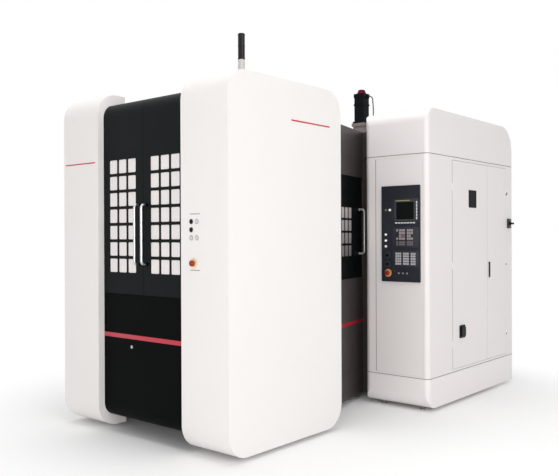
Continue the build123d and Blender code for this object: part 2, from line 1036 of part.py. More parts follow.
def make_side_door():
    """The sliding door: a skin with punched panes on a folded frame, grooved for its rails."""
    outer = -door_inset
    inner = outer - door_depth
    skin = outer - front_skin
    span = (door_front, door_rear)
    door = block((inner, outer), span, (door_bottom, door_top))
    pane_low = side_pane_end - side_pane_columns * side_pane_pitch_y
    pane_top = side_pane_bottom + side_pane_rows * side_pane_pitch_z
    door -= block(
        (inner - past, skin),
        (pane_low - window_lap, side_pane_end + window_lap),
        (side_pane_bottom - window_lap - side_frame_drop, pane_top + window_lap),
    )
    door -= block(
        (inner - past, skin),
        (door_front + door_edge, door_rear - door_edge),
        (pane_top + window_lap + door_panel_gap, door_top - door_panel_top),
    )
    groove_middle = -door_inset - door_depth / 2
    groove_half = door_rail_half + clearance
    groove = (groove_middle - groove_half, groove_middle + groove_half)
    for edge, away in ((door_bottom, -1), (door_top, 1)):
        depth = sorted((edge + away * past, edge - away * (door_rail_bite + clearance)))
        door -= block(groove, (door_front - past, door_rear + past), depth)
    pane = RectangleRounded(side_pane_width, side_pane_height, pane_radius)
    holes = grid_of(side_pane_columns, side_pane_rows, side_pane_pitch_y, side_pane_pitch_z, pane)
    middle_y = side_pane_end - (side_pane_columns - 1) * side_pane_pitch_y / 2
    middle_y -= side_pane_width / 2
    middle_z = side_pane_bottom + (side_pane_rows - 1) * side_pane_pitch_z / 2
    middle_z += side_pane_height / 2
    cut = side_plane_at(skin - past, middle_y, middle_z) * holes
    door -= extrude(cut, front_skin + 2 * past)
    for height in (side_bar_low, side_bar_high):
        start = (outer + past, side_bar_place, height)
        door -= rod(start, (-1, 0, 0), bar_stud + 2 * past, bar_stud_radius + clearance)
    return wall_place() * door


def make_side_window():
    skin = -door_inset - front_skin
    pane_low = side_pane_end - side_pane_columns * side_pane_pitch_y
    pane_top = side_pane_bottom + side_pane_rows * side_pane_pitch_z
    window = block(
        (skin - window_thickness, skin),
        (pane_low - window_lap + window_play, side_pane_end + window_lap - window_play),
        (
            side_pane_bottom - window_lap - side_frame_drop + window_play,
            pane_top + window_lap - window_play,
        ),
    )
    return wall_place() * window


def make_side_handle():
    bar = Rot(0, 0, 90) * bar_handle(side_bar_low, side_bar_high)
    return wall_place() * (Pos(-door_inset, side_bar_place, 0) * bar)


# Enclosure panels behind the station


def wall_inner_x(y):
    """Where the inside of the slanted wall lies at a depth."""
    along = y - wall_start_y
    turn = math.radians(wall_angle)
    return wall_start_x - along * math.tan(turn) - wall_sheet / math.cos(turn)


def make_rear_enclosure():
    """Flat panels bolted edge to edge: left, back, cabinet side, roof, infill and spacers."""
    right = cabinet_left - cabinet_gap
    outer_left = shell_left - shell_sheet
    height = (shell_low, wall_top)
    left = block((outer_left, shell_left), (post_y + post_size, shell_back), height)
    back = block((outer_left, right), (shell_back, shell_back + shell_sheet), height)
    side = block((right - shell_sheet, right), (wall_end_y, shell_back), height)
    infill = block(
        (shell_left, shell_left + infill_width),
        (changer_y, changer_y + shell_sheet),
        (shell_low, partition_top),
    )
    panels = left + back + side + infill
    for z in (spacer_low, spacer_high):
        panels += block((right, cabinet_left), (spacer_y, spacer_y + spacer_size), (z, z + spacer_size))
    corners = [
        (shell_left, wall_start_y),
        (wall_inner_x(wall_start_y), wall_start_y),
        (wall_inner_x(wall_end_y), wall_end_y),
        (right - shell_sheet, wall_end_y),
        (right - shell_sheet, shell_roof_end),
        (shell_left, shell_roof_end),
    ]
    outline = make_face(Polyline(*corners, close=True))
    return panels + extrude(Plane.XY.offset(wall_top - shell_sheet) * outline, shell_sheet)


# Bed, feet, guides and drives


def bed_pockets(x, y, top):
    """The cells under a part of the bed, between its outer walls and inner ribs."""
    cell_x = (x[1] - x[0] - bed_wall) / bed_pocket_columns
    cell_y = (y[1] - y[0] - bed_wall) / bed_pocket_rows
    cells = []
    for column in range(bed_pocket_columns):
        start_x = x[0] + bed_wall + column * cell_x
        span_x = (start_x, start_x + cell_x - bed_wall)
        for row in range(bed_pocket_rows):
            start_y = y[0] + bed_wall + row * cell_y
            span_y = (start_y, start_y + cell_y - bed_wall)
            cells.append(block(span_x, span_y, (bed_bottom - past, top)))
    return cells


def bearing_blocks():
    """The end bearings of the two bed screws, each bored for its screw."""
    blocks = []
    z_floor = z_screw_height - trough_half
    for start in (z_screw_start, z_bearing_rear):
        span = (start, start + bearing_length)
        body = block((-trough_half, trough_half), span, (z_floor, front_bed_top - bearing_top_step))
        axis = (0, start - past, z_screw_height)
        blocks.append(body - rod(axis, (0, 1, 0), bearing_length + 2 * past, z_screw_radius + clearance))
    x_floor = x_screw_height - x_trough_depth
    across = (x_screw_y - trough_half, x_screw_y + trough_half)
    for start in (-rear_bed_half, rear_bed_half - bearing_length):
        span = (start, start + bearing_length)
        body = block(span, across, (x_floor, rear_bed_top - bearing_top_step))
        axis = (start - past, x_screw_y, x_screw_height)
        blocks.append(body - rod(axis, (1, 0, 0), bearing_length + 2 * past, x_screw_radius + clearance))
    return blocks


def make_machine_bed():
    """The T-shaped casting, ribbed underneath, with screw troughs and the changer pedestal."""
    front_x = (-front_bed_half, front_bed_half)
    front_y = (front_bed_start, rear_bed_start)
    rear_x = (-rear_bed_half, rear_bed_half)
    rear_y = (rear_bed_start, rear_bed_end)
    z_floor = z_screw_height - trough_half
    x_floor = x_screw_height - x_trough_depth
    bed = block(front_x, front_y, (bed_bottom, front_bed_top))
    bed += block(rear_x, rear_y, (bed_bottom, rear_bed_top))
    bed += block(front_x, (pedestal_start, front_bed_start), (bed_bottom, pedestal_top))
    for y in (-anchor_y, 0):
        foot_y = (y - foot_length / 2, y + foot_length / 2)
        bed += block((-foot_half, foot_half), foot_y, (bed_bottom, foot_top))
    z_trough = (z_screw_start, rear_bed_start)
    bed -= block((-trough_half, trough_half), z_trough, (z_floor, front_bed_top + past))
    bed -= block(
        (-rear_bed_half - past, rear_bed_half + past),
        (x_screw_y - trough_half, x_screw_y + trough_half),
        (x_floor, rear_bed_top + past),
    )
    bed -= bed_pockets(front_x, front_y, z_floor - bed_wall)
    bed -= bed_pockets(rear_x, rear_y, x_floor - bed_wall)
    for x in (-anchor_x, anchor_x):
        boss_y = (anchor_y - anchor_offset - anchor_boss, rear_bed_end - bed_wall + past)
        bed += block((x - anchor_boss, x + anchor_boss), boss_y, (bed_bottom, foot_top))
        for y in (-anchor_y, 0, anchor_y):
            depth = foot_top - bed_bottom + 2 * past
            bed -= rod((x, y, bed_bottom - past), (0, 0, 1), depth, anchor_relief)
    for side in (-1, 1):
        depth = sorted((side * (rear_bed_half - bed_wall - past), side * (rear_bed_half + past)))
        window = (anchor_y - anchor_boss, anchor_y + anchor_boss)
        bed -= block(depth, window, (foot_top, foot_top + anchor_window))
    bed -= rod((0, changer_y, lift_low - lift_sump), (0, 0, 1), pedestal_top, lift_radius + clearance)
    for bearing in bearing_blocks():
        bed += bearing
    return bed


def pad_sites():
    """Anchor position and the direction from the anchor to the levelling screw, for each pad."""
    sites = []
    for x in (-anchor_x, anchor_x):
        sites.append((x, -anchor_y, 1))
        sites.append((x, 0, 1))
        sites.append((x, anchor_y, -1))
    return sites


def make_levelling_pads():
    pads = []
    for x, y, toward in pad_sites():
        middle = y + toward * anchor_offset / 2
        pad = block(
            (x - pad_width / 2, x + pad_width / 2),
            (middle - pad_length / 2, middle + pad_length / 2),
            (0, pad_thickness),
        )
        screw_y = y + toward * anchor_offset
        pad += rod((x, screw_y, pad_thickness), (0, 0, 1), pad_collar_height, pad_collar)
        pad += rod((x, screw_y, pad_thickness), (0, 0, 1), bed_bottom - pad_thickness, pad_screw)
        pad -= rod((x, y, -past), (0, 0, 1), pad_thickness + 2 * past, anchor_radius)
        pads.append(pad)
    return Compound(pads)


def make_bed_linear_rails():
    rails = []
    z_start = table_y - z_travel - saddle_half_y - rail_margin
    z_end = table_y + saddle_half_y + rail_overrun
    half = guide_rail_width / 2
    for x in (-z_rail_x, z_rail_x):
        height = (front_bed_top, front_bed_top + guide_rail_height)
        rails.append(rail((x - half, x + half), (z_start, z_end), height))
    for y in (x_screw_y - x_rail_half_gap, x_screw_y + x_rail_half_gap):
        height = (rear_bed_top, rear_bed_top + guide_rail_height)
        span = (rail_margin - rear_bed_half, rear_bed_half - rail_margin)
        rails.append(rail(span, (y - half, y + half), height))
    return Compound(rails)


def make_bed_servo_motors():
    """The two bed motors, each on the outer face of its screw's end bearing."""
    half = motor_size / 2
    z_face = z_bearing_rear + bearing_length
    z_motor = servo((0, z_face, z_screw_height), (0, 1, 0), half, motor_length)
    x_motor = servo((-rear_bed_half, x_screw_y, x_screw_height), (-1, 0, 0), half, motor_length)
    bore = motor_gap + past
    z_motor -= rod((0, z_face - past, z_screw_height), (0, 1, 0), bore, z_screw_radius + clearance)
    x_inside = past - rear_bed_half
    x_motor -= rod((x_inside, x_screw_y, x_screw_height), (-1, 0, 0), bore, x_screw_radius + clearance)
    return Compound([z_motor, x_motor])


def make_z_ball_screw():
    end = z_bearing_rear + bearing_length + motor_gap - past
    return rod((0, z_screw_start, z_screw_height), (0, 1, 0), end - z_screw_start, z_screw_radius)


def make_x_ball_screw():
    start = past - rear_bed_half - motor_gap
    return rod((start, x_screw_y, x_screw_height), (1, 0, 0), rear_bed_half - start, x_screw_radius)


def make_y_ball_screw():
    start = column_sill - y_screw_low
    screw = rod((0, y_screw_y, start), (0, 0, 1), mount_top - y_screw_end - start, y_screw_radius)
    coupling_start = column_top + y_coupling_low
    screw += rod((0, y_screw_y, coupling_start), (0, 0, 1), y_coupling, y_screw_radius + y_coupling_wall)
    return screw


# Table, pallets and changer


def make_table_saddle():
    """The Z saddle: four grooved runners, a nut, the plate and the round turret body."""
    ends = (table_y - saddle_half_y, table_y + saddle_half_y)
    saddle = block((-saddle_half_x, saddle_half_x), ends, (saddle_bottom, saddle_top))
    saddle = chamfer(saddle.edges().filter_by(Axis.Z), saddle_edge)
    half = guide_rail_width / 2 + clearance
    rail_top = front_bed_top + guide_rail_height
    for x in (-z_rail_x, z_rail_x):
        for y in (ends[0] + runner_half, ends[1] - runner_half):
            saddle += block(
                (x - runner_width / 2, x + runner_width / 2),
                (y - runner_half, y + runner_half),
                (front_bed_top + runner_clear, saddle_bottom + past),
            )
        groove = (ends[0] - past, ends[1] + past)
        saddle -= block((x - half, x + half), groove, (front_bed_top, rail_top + clearance))
    nut_y = (table_y - nut_half, table_y + nut_half)
    saddle += block((-nut_half, nut_half), nut_y, (z_screw_height - nut_drop, saddle_bottom + past))
    bore_start = (0, ends[0] - past, z_screw_height)
    saddle -= rod(bore_start, (0, 1, 0), 2 * saddle_half_y, z_screw_radius + clearance)
    saddle += rod((0, table_y, saddle_top), (0, 0, 1), turret_top - saddle_top, turret_radius)
    seat = turret_top - spigot_bore
    saddle -= rod((0, table_y, seat), (0, 0, 1), spigot_bore + past, spigot_radius + clearance)
    return saddle


def make_rotary_table():
    """The B axis: a platen on the turret and the clamping neck under the pallet."""
    low = turret_top + clearance
    table = rod((0, table_y, low), (0, 0, 1), platen_top - low, platen_radius)
    table += rod((0, table_y, platen_top), (0, 0, 1), pallet_bottom - platen_top, neck_radius)
    spigot_low = turret_top - spigot_depth
    return table + rod((0, table_y, spigot_low), (0, 0, 1), low + past - spigot_low, spigot_radius)


def make_pallet(y):
    """A square pallet with T-slots along X and bevelled edges."""
    half = pallet_size / 2
    top = pallet_bottom + pallet_thickness
    pallet = block((-half, half), (y - half, y + half), (pallet_bottom, top))
    pallet = chamfer(pallet.edges().filter_by(Axis.Z), pallet_edge)
    for number in range(slot_count):
        slot_y = y + (number - (slot_count - 1) / 2) * slot_pitch
        across = (-half - past, half + past)
        neck = (slot_y - slot_width / 2, slot_y + slot_width / 2)
        head = (slot_y - slot_head / 2, slot_y + slot_head / 2)
        floor = top - slot_depth
        pallet -= block(across, neck, (floor, top + past))
        pallet -= block(across, head, (floor, floor + slot_head_height))
    return pallet


def make_changer_lift():
    """The ram that lifts the fork out of the pedestal."""
    ram = rod((0, changer_y, lift_low), (0, 0, 1), lift_top - lift_low, lift_radius)
    ram += rod((0, changer_y, lift_top - lift_flange), (0, 0, 1), lift_flange, lift_flange_radius)
    return ram


def make_changer_fork():
    """The double fork: a hub plate with two pairs of tines and the pallets' seat pins."""
    outer = tine_inner + tine_width
    hub = (changer_y - fork_hub_half, changer_y + fork_hub_half)
    fork = block((-outer, outer), hub, (fork_bottom, fork_top))
    seat = lift_top + clearance
    fork += rod((0, changer_y, seat), (0, 0, 1), fork_bottom + past - seat, lift_flange_radius)
    for side in (-1, 1):
        span = sorted((side * tine_inner, side * outer))
        tine = block(span, (changer_y - tine_end, changer_y + tine_end), (fork_bottom, fork_top))
        fork += tine
        pin_x = side * (tine_inner + tine_width / 2)
        for end in (-1, 1):
            for offset in (-pin_spread, pin_spread):
                pin = (pin_x, changer_y + end * changer_reach + offset, fork_top)
                fork += rod(pin, (0, 0, 1), pallet_bottom - clearance - fork_top, pin_radius)
    return fork


def make_changer_partition():
    """The wall that turns with the fork and closes the station off from the machining space."""
    half = partition_thickness / 2
    skin = (changer_y - partition_skin / 2, changer_y + partition_skin / 2)
    wall = block((-partition_half, partition_half), skin, (fork_top, partition_top))
    span = (changer_y - half, changer_y + half)
    for x in (-partition_half, -partition_rib / 2, partition_half - partition_rib):
        wall += block((x, x + partition_rib), span, (fork_top, partition_top))
    for z in (fork_top, (fork_top + partition_top) / 2, partition_top - partition_rib):
        wall += block((-partition_half, partition_half), span, (z, z + partition_rib))
    return wall


# Column, head and spindle


def motor_mount():
    """The hollow motor mount on the column: two plates, a groove between them and open sides."""
    inner = mount_half - mount_wall
    low = column_top + mount_window_low
    high = mount_top - 2 * mount_plate - mount_groove
    mount = centred_block(mount_half, column_top, mount_top)
    mount -= centred_block(inner, column_top, mount_top - mount_wall)
    window = inner - mount_window_edge
    reach = mount_half + past
    mount -= block((-reach, reach), (y_screw_y - window, y_screw_y + window), (low, high))
    mount -= block((-window, window), (y_screw_y - reach, y_screw_y + reach), (low, high))
    groove = (mount_top - mount_plate - mount_groove, mount_top - mount_plate)
    mount -= centred_block(reach, *groove) - centred_block(mount_half - mount_groove_depth, *groove)
    return mount


def centred_block(half, low, high):
    """A square block round the axis of the vertical screw."""
    return block((-half, half), (y_screw_y - half, y_screw_y + half), (low, high))


def make_column():
    """The travelling portal: two legs on a base, a deep head beam, ways and the motor mount."""
    column = block((-column_half, column_half), (column_front, column_back), (column_bottom, column_top))
    portal = (column_front - past, column_back - column_back_wall)
    column -= block((-leg_inner, leg_inner), portal, (column_sill, column_lintel))
    half = guide_rail_width / 2 + clearance
    rail_top = rear_bed_top + guide_rail_height
    runner_x = column_half - column_runner_half
    for y in (x_screw_y - x_rail_half_gap, x_screw_y + x_rail_half_gap):
        for x in (-runner_x, runner_x):
            column += block(
                (x - column_runner_half, x + column_runner_half),
                (y - runner_width / 2, y + runner_width / 2),
                (rear_bed_top + runner_clear, column_bottom + past),
            )
        groove = (-column_half - past, column_half + past)
        column -= block(groove, (y - half, y + half), (rear_bed_top, rail_top + clearance))
    nut_y = (x_screw_y - nut_half, x_screw_y + nut_half)
    column += block((-nut_half, nut_half), nut_y, (x_screw_height - column_nut_drop, column_bottom + past))
    bore_start = (-column_half, x_screw_y, x_screw_height)
    column -= rod(bore_start, (1, 0, 0), 2 * column_half, x_screw_radius + clearance)
    for x in (-way_x, way_x):
        column += block(
            (x - guide_rail_width / 2, x + guide_rail_width / 2),
            (column_front - guide_rail_height, column_front + past),
            (way_low, way_high),
        )
    column += motor_mount()
    screw_low = column_sill - y_screw_low - runner_clear
    column -= rod((0, y_screw_y, screw_low), (0, 0, 1), mount_top, y_screw_radius + clearance)
    middle = (column_sill + column_lintel) / 2
    pocket_height = middle - column_sill - column_pocket_edge
    for side in (-1, 1):
        depth = sorted((side * (column_half - column_pocket_depth), side * (column_half + past)))
        span = (column_front + column_pocket_edge, column_back - column_pocket_edge)
        for low in (column_sill + column_pocket_gap, middle + column_pocket_gap / 2):
            column -= block(depth, span, (low, low + pocket_height))
    gland = rod((cable_drop_x, cable_y(), column_top), (0, 0, 1), gland_height, gland_radius)
    gland -= rod((cable_drop_x, cable_y(), column_top), (0, 0, 1), gland_height, cable_radius + clearance)
    return column + gland


def make_spindle_head():
    """The head between the legs: a filleted body, ears on the ways and the round nose."""
    low = spindle_z - head_height / 2
    high = spindle_z + head_height / 2
    head = block((-head_half, head_half), (head_front, head_back), (low, high))
    head = fillet(head.edges().filter_by(Axis.Y), head_edge)
    ear_low = spindle_z - ear_height / 2
    ear_high = spindle_z + ear_height / 2
    head += block((-ear_half, ear_half), (ear_front, ear_back), (ear_low, ear_high))
    for x in (-way_x, way_x):
        for start in (ear_low, ear_high - ear_runner):
            head += block(
                (x - runner_width / 2, x + runner_width / 2),
                (ear_back - past, column_front - runner_clear),
                (start, start + ear_runner),
            )
        half = guide_rail_width / 2 + clearance
        head -= block(
            (x - half, x + half),
            (column_front - guide_rail_height - clearance, column_front),
            (ear_low - past, ear_high + past),
        )
    nose = head_front - nose_length
    head += rod((0, nose, spindle_z), (0, 1, 0), nose_length + past, nose_radius)
    bore = spindle_back - head_front + spindle_bore_end
    head -= rod((0, nose - past, spindle_z), (0, 1, 0), bore, spindle_radius + clearance)
    head -= rod((0, y_screw_y, low - past), (0, 0, 1), head_height + 2 * past, y_screw_radius + clearance)
    return head


def standing_cone(low_radius, high_radius, height):
    return Cone(low_radius, high_radius, height, align=(Align.CENTER, Align.CENTER, Align.MIN))


def make_spindle():
    """The spindle shaft with its flange, two drive keys and the tapered mouth."""
    shoulder = head_front - nose_length - spindle_step
    spindle = rod((0, shoulder, spindle_z), (0, 1, 0), spindle_back - shoulder, spindle_radius)
    spindle += rod((0, spindle_front, spindle_z), (0, 1, 0), shoulder - spindle_front, spindle_flange)
    mouth = Plane(origin=(0, spindle_front, spindle_z), z_dir=(0, 1, 0))
    spindle -= mouth * standing_cone(taper_mouth, taper_end, taper_depth)
    key_y = (spindle_front - spindle_key_proud, spindle_front + past)
    key_z = (spindle_z - spindle_key_height, spindle_z + spindle_key_height)
    for x in (-spindle_key_place, spindle_key_place):
        spindle += block((x - spindle_key_half, x + spindle_key_half), key_y, key_z)
    return spindle


def square_bar(half, corner, low, height):
    """A square bar with rounded corners, standing on a height above the motor mount."""
    return Pos(0, 0, low) * extrude(RectangleRounded(2 * half, 2 * half, corner), height)


def make_y_servo():
    """The motor on the column: a flange, a square body with two bands, a plug and a domed cap."""
    height = servo_top - mount_top
    body = square_bar(servo_flange_half, servo_flange_corner, 0, servo_flange)
    body += square_bar(servo_body_half, servo_corner, 0, height - servo_head)
    body += square_bar(servo_half, servo_corner, servo_waist_low, servo_waist)
    body += square_bar(servo_half, servo_corner, height - servo_head, servo_head)
    plug_x = servo_half - servo_plug_half + servo_plug_proud
    plug_z = height - servo_plug_top - servo_plug_height / 2
    plug_size = 2 * servo_plug_half
    body += Pos(plug_x, servo_plug_y, plug_z) * Box(plug_size, plug_size, servo_plug_height)
    cap = standing_cone(servo_cap_base, servo_cap_radius, servo_cap_height)
    cap = fillet(cap.edges().group_by(Axis.Z)[-1], servo_cap_edge)
    body += Pos(0, 0, height) * cap
    return Pos(0, y_screw_y, mount_top) * body


# Tool magazine and changer


def make_changer_stand():
    """The floor stand of the magazine, with its bearing stub and the hung gearbox."""
    post_x = (stand_x, stand_x + stand_width)
    stand_end = stand_y + stand_depth
    foot_y = (stand_y - stand_foot_reach, stand_end + stand_foot_reach)
    stand = block((stand_x, stand_x + stand_foot_length), foot_y, (0, stand_foot))
    tie_y = (stand_y, stand_y + stand_beam)
    stand += block((post_x[1], -rear_bed_half), tie_y, (stand_tie, stand_tie + stand_beam))
    stand += block(post_x, (stand_y, stand_end), (stand_foot, stand_top))
    beam_z = (stand_top - stand_beam, stand_top)
    stand += block(post_x, (stand_arm_y, stand_end), beam_z)
    arm_half = gearbox_half - gearbox_step
    arm_span = (stand_arm_y, stand_arm_y + stand_arm_depth)
    stand += block((stand_x, arm_x + arm_half), arm_span, beam_z)
    box_top = disc_z + gearbox_height / 2
    stand += block((arm_x - arm_half, arm_x + arm_half), arm_span, (box_top, stand_top))
    box_x = (arm_x - gearbox_half, arm_x + gearbox_half)
    box = block(box_x, (gearbox_front, gearbox_back), (disc_z - gearbox_height / 2, box_top))
    stand += fillet(box.edges().filter_by(Axis.Y), gearbox_edge)
    bore = arm_shaft_back - gearbox_front + shaft_end_gap
    stand -= rod((arm_x, gearbox_front - past, disc_z), (0, 1, 0), bore, arm_shaft_radius + clearance)
    hub_end = disc_x + disc_thickness - past + disc_hub
    stub_end = hub_end + hub_play + hub_cap
    stub_start = post_x[1] - past
    stand += rod((stub_start, disc_y, disc_z), (1, 0, 0), stub_end - stub_start, disc_bore - clearance)
    stand += rod((hub_end + hub_play, disc_y, disc_z), (1, 0, 0), hub_cap, disc_bore + hub_cap)
    return stand


def on_disc(radius, angle, x):
    """A point on a circle round the magazine's axis."""
    turn = math.radians(angle)
    return x, disc_y + radius * math.cos(turn), disc_z + radius * math.sin(turn)


def make_magazine_disc():
    """The disc with its pots, every pot holding a tool holder."""
    pot_start = disc_x + disc_thickness - past
    disc = rod((disc_x, disc_y, disc_z), (1, 0, 0), disc_thickness, pot_circle + disc_rim)
    disc += rod((pot_start, disc_y, disc_z), (1, 0, 0), disc_hub, disc_bore + disc_hub_wall)
    bore = disc_thickness + disc_hub + 2 * past
    disc -= rod((disc_x - past, disc_y, disc_z), (1, 0, 0), bore, disc_bore)
    lip_start = pot_start + pot_length
    flange_start = lip_start + pot_lip
    shank_start = flange_start + stored_flange
    shank = stored_length - pot_lip - stored_flange
    for number in range(pot_count):
        angle = number * 360 / pot_count
        disc += rod(on_disc(pot_circle, angle, pot_start), (1, 0, 0), pot_length, pot_radius)
        lip_radius = stored_shank_radius + pot_lip_wall
        disc += rod(on_disc(pot_circle, angle, lip_start), (1, 0, 0), pot_lip, lip_radius)
        disc += rod(on_disc(pot_circle, angle, flange_start), (1, 0, 0), stored_flange, stored_tool_radius)
        disc += rod(on_disc(pot_circle, angle, shank_start), (1, 0, 0), shank, stored_shank_radius)
    for number in range(disc_window_count):
        angle = (number + 0.5) * 360 / disc_window_count
        start = on_disc(disc_window_circle, angle, disc_x - past)
        disc -= rod(start, (1, 0, 0), disc_thickness + 2 * past, disc_window_radius)
    return disc


def make_arm_shaft():
    start = arm_front + arm_thickness + clearance
    return rod((arm_x, start, disc_z), (0, 1, 0), arm_shaft_back - start, arm_shaft_radius)


def make_tool_arm():
    """The double gripper, parked upright in front of its shaft."""
    place = front_plane_at(arm_x, arm_front + arm_thickness, disc_z)
    outline = Rectangle(arm_width, 2 * arm_reach - arm_grip_ring) + Circle(arm_hub_radius)
    for end in (-1, 1):
        outline += Pos(0, end * arm_reach) * Circle(arm_grip_ring)
    for end in (-1, 1):
        outline -= Pos(0, end * arm_reach) * Circle(arm_grip_radius)
        mouth = Rectangle(2 * arm_grip_ring, arm_mouth)
        outline -= Pos(end * arm_grip_ring, end * arm_reach) * mouth
    return extrude(place * outline, arm_thickness)


# Electrical cabinet


def cabinet_solid(offset):
    """The cabinet's outer form taken in by an offset: a plan outline and a side outline."""
    left = cabinet_left + offset
    right = cabinet_right - offset
    front = cabinet_front + offset
    back = cabinet_back - offset
    low = floor_gap + offset
    high = cabinet_top - offset
    plan = Plane.XY * Pos((left + right) / 2, (front + back) / 2) * Rectangle(right - left, back - front)
    corners = plan.vertices().group_by(Axis.Y)[0].sort_by(Axis.X)
    plan = fillet(corners[0], cabinet_left_radius - offset)
    corners = plan.vertices().group_by(Axis.Y)[0].sort_by(Axis.X)
    plan = fillet(corners[-1], cabinet_right_radius - offset)
    body = extrude(Plane.XY.offset(low) * plan, high - low)
    middle = Pos((front + back) / 2, (low + high) / 2)
    outline = side_plane_at(left - past, 0, 0) * middle * Rectangle(back - front, high - low)
    front_corners = outline.vertices().group_by(Axis.Y)[0]
    outline = fillet(front_corners, cabinet_curve - offset)
    rear_top = outline.vertices().group_by(Axis.Y)[-1].sort_by(Axis.Z)[-1]
    outline = fillet(rear_top, cabinet_back_curve - offset)
    return body & extrude(outline, right - left + 2 * past)


def cabinet_shell():
    return cabinet_solid(0) - cabinet_solid(cabinet_sheet)


def cabinet_slice(shell, low, high):
    """The part of a shell between two heights."""
    return shell & block(
        (cabinet_left - past, cabinet_right + past),
        (cabinet_front - past, cabinet_back + past),
        (low, high),
    )


def joining_ring(low, high):
    """A narrow ring inside the cabinet's skin that bridges a seam."""
    ring = cabinet_solid(cabinet_sheet) - cabinet_solid(2 * cabinet_sheet)
    return cabinet_slice(ring, low, high)


def make_cabinet_cap(shell):
    start = cap_seam + seam_width
    return cabinet_slice(shell, start, cover_top) + joining_ring(cap_seam, start + seam_lap)


def make_cabinet_skirt(shell):
    """The plinth on its four feet."""
    skirt = cabinet_slice(shell, 0, skirt_seam)
    skirt += joining_ring(skirt_seam - seam_lap, skirt_seam + seam_width)
    inset = cabinet_foot_inset
    for x in (cabinet_left + inset, cabinet_right - inset):
        for y in (cabinet_front + inset, cabinet_back - inset):
            skirt += rod((x, y, 0), (0, 0, 1), floor_gap + past, cabinet_foot)
    return skirt


def hinge_heights():
    """The lower ends of a cabinet door's hinge knuckles."""
    span = door_high - door_low - 2 * knuckle_margin - knuckle_length
    return [door_low + knuckle_margin + span * n / (knuckle_count - 1) for n in range(knuckle_count)]


def hinge_axis(edge, into):
    """The hinge line of a door: on the outer face, in the middle of the door's edge gap."""
    return cabinet_right, edge + into * front_door_gap / 2


def make_cabinet_body(shell):
    """The middle of the cabinet: door openings, lips, front ledge, hinge pins and switch block."""
    low = skirt_seam + seam_width
    body = cabinet_slice(shell, low, cap_seam)
    right = cabinet_right
    ring = cabinet_solid(cabinet_sheet - past) - cabinet_solid(cabinet_flange)
    for level in (low, cap_seam - cabinet_sheet):
        body += cabinet_slice(ring, level, level + cabinet_sheet)
    lip_y = (large_door_start - cabinet_lip, small_door_end + cabinet_lip)
    body += block((right - cabinet_lip, right), lip_y, (low, cap_seam))
    door_y = (large_door_start, small_door_end)
    body -= block((right - cabinet_lip - past, right + past), door_y, (door_low, door_high))
    opening_x = (front_panel_left, right - front_panel_edge)
    opening_z = (door_low - front_panel_reach, door_high + front_panel_reach)
    inside = cabinet_front + cabinet_sheet
    body -= block(opening_x, (cabinet_front - past, inside), opening_z)
    body += block(
        (opening_x[0] - ledge_reach, opening_x[1] + ledge_reach),
        (inside, inside + cabinet_sheet),
        (opening_z[0] - ledge_reach, opening_z[1] + ledge_reach),
    )
    body -= block(
        (opening_x[0] + ledge_lap, opening_x[1] - ledge_lap),
        (cabinet_front, inside + 2 * cabinet_sheet),
        (opening_z[0] + ledge_lap, opening_z[1] - ledge_lap),
    )
    for edge, into in ((large_door_start, 1), (small_door_end, -1)):
        body = add_hinge_pins(body, *hinge_axis(edge, into))
    plate = side_plane_at(right - past, switch_y, switch_z)
    plate *= RectangleRounded(switch_plate_width, switch_plate_height, switch_plate_corner)
    body += extrude(plate, switch_plate_proud + past)
    shaft_start = (right + switch_plate_proud + past, switch_y, switch_z)
    shaft_length = switch_plate_proud + switch_shaft_end + 2 * past
    body -= rod(shaft_start, (-1, 0, 0), shaft_length, switch_shaft + clearance)
    return body


def add_hinge_pins(body, x, y):
    """The cabinet's half of a door's hinges: a foot and a pin under each knuckle."""
    gap = knuckle_length + 2 * knuckle_play
    for height in hinge_heights():
        start = height - knuckle_play
        body -= rod((x, y, start), (0, 0, 1), gap, knuckle_radius + knuckle_play)
        body += rod((x, y, start - hinge_pin_foot), (0, 0, 1), hinge_pin_foot, knuckle_radius)
        body += rod((x, y, start - hinge_pin_foot), (0, 0, 1), hinge_pin_foot + knuckle_length, knuckle_pin)
    return body


def cabinet_door(start, end, hinge_edge, into):
    """A pan door flush with the cabinet's side, with its hinge knuckles."""
    right = cabinet_right
    span = (start + front_door_gap, end - front_door_gap)
    height = (door_low + front_door_gap, door_high - front_door_gap)
    door = block((right - door_pan, right), span, height)
    door -= block(
        (right - door_pan - past, right - door_skin),
        (span[0] + door_skin, span[1] - door_skin),
        (height[0] + door_skin, height[1] - door_skin),
    )
    x, y = hinge_axis(hinge_edge, into)
    for low in hinge_heights():
        foot = low - hinge_pin_foot - 2 * knuckle_play
        door -= rod((x, y, foot), (0, 0, 1), low - foot, knuckle_radius + knuckle_play)
        door += rod((x, y, low), (0, 0, 1), knuckle_length, knuckle_radius)
        door -= rod((x, y, low - past), (0, 0, 1), knuckle_length + 2 * past, knuckle_pin + clearance)
    return door


def window_limits(inset):
    """The cabinet window's edges along Y and Z, taken in by an inset."""
    y = (window_start + inset, window_start + window_width - inset)
    return y, (window_low + inset, window_low + window_height - inset)


def outlet_limits(inset):
    """The service outlet's edges along Y and Z, taken in by an inset."""
    y = (outlet_start + inset, outlet_start + outlet_width - inset)
    return y, (outlet_low + inset, outlet_low + outlet_height - inset)


def make_large_cabinet_door():
    door = cabinet_door(large_door_start, door_meeting, large_door_start, 1)
    depth = (cabinet_right - 2 * door_skin, cabinet_right + past)
    door -= block(depth, *window_limits(window_edge))
    door -= block(depth, *outlet_limits(outlet_edge))
    return door


def make_small_cabinet_door():
    door = cabinet_door(door_meeting, small_door_end, small_door_end, -1)
    start = (cabinet_right + past, handle_y, handle_z)
    return door - rod(start, (-1, 0, 0), door_pan / 2, handle_shaft + clearance)


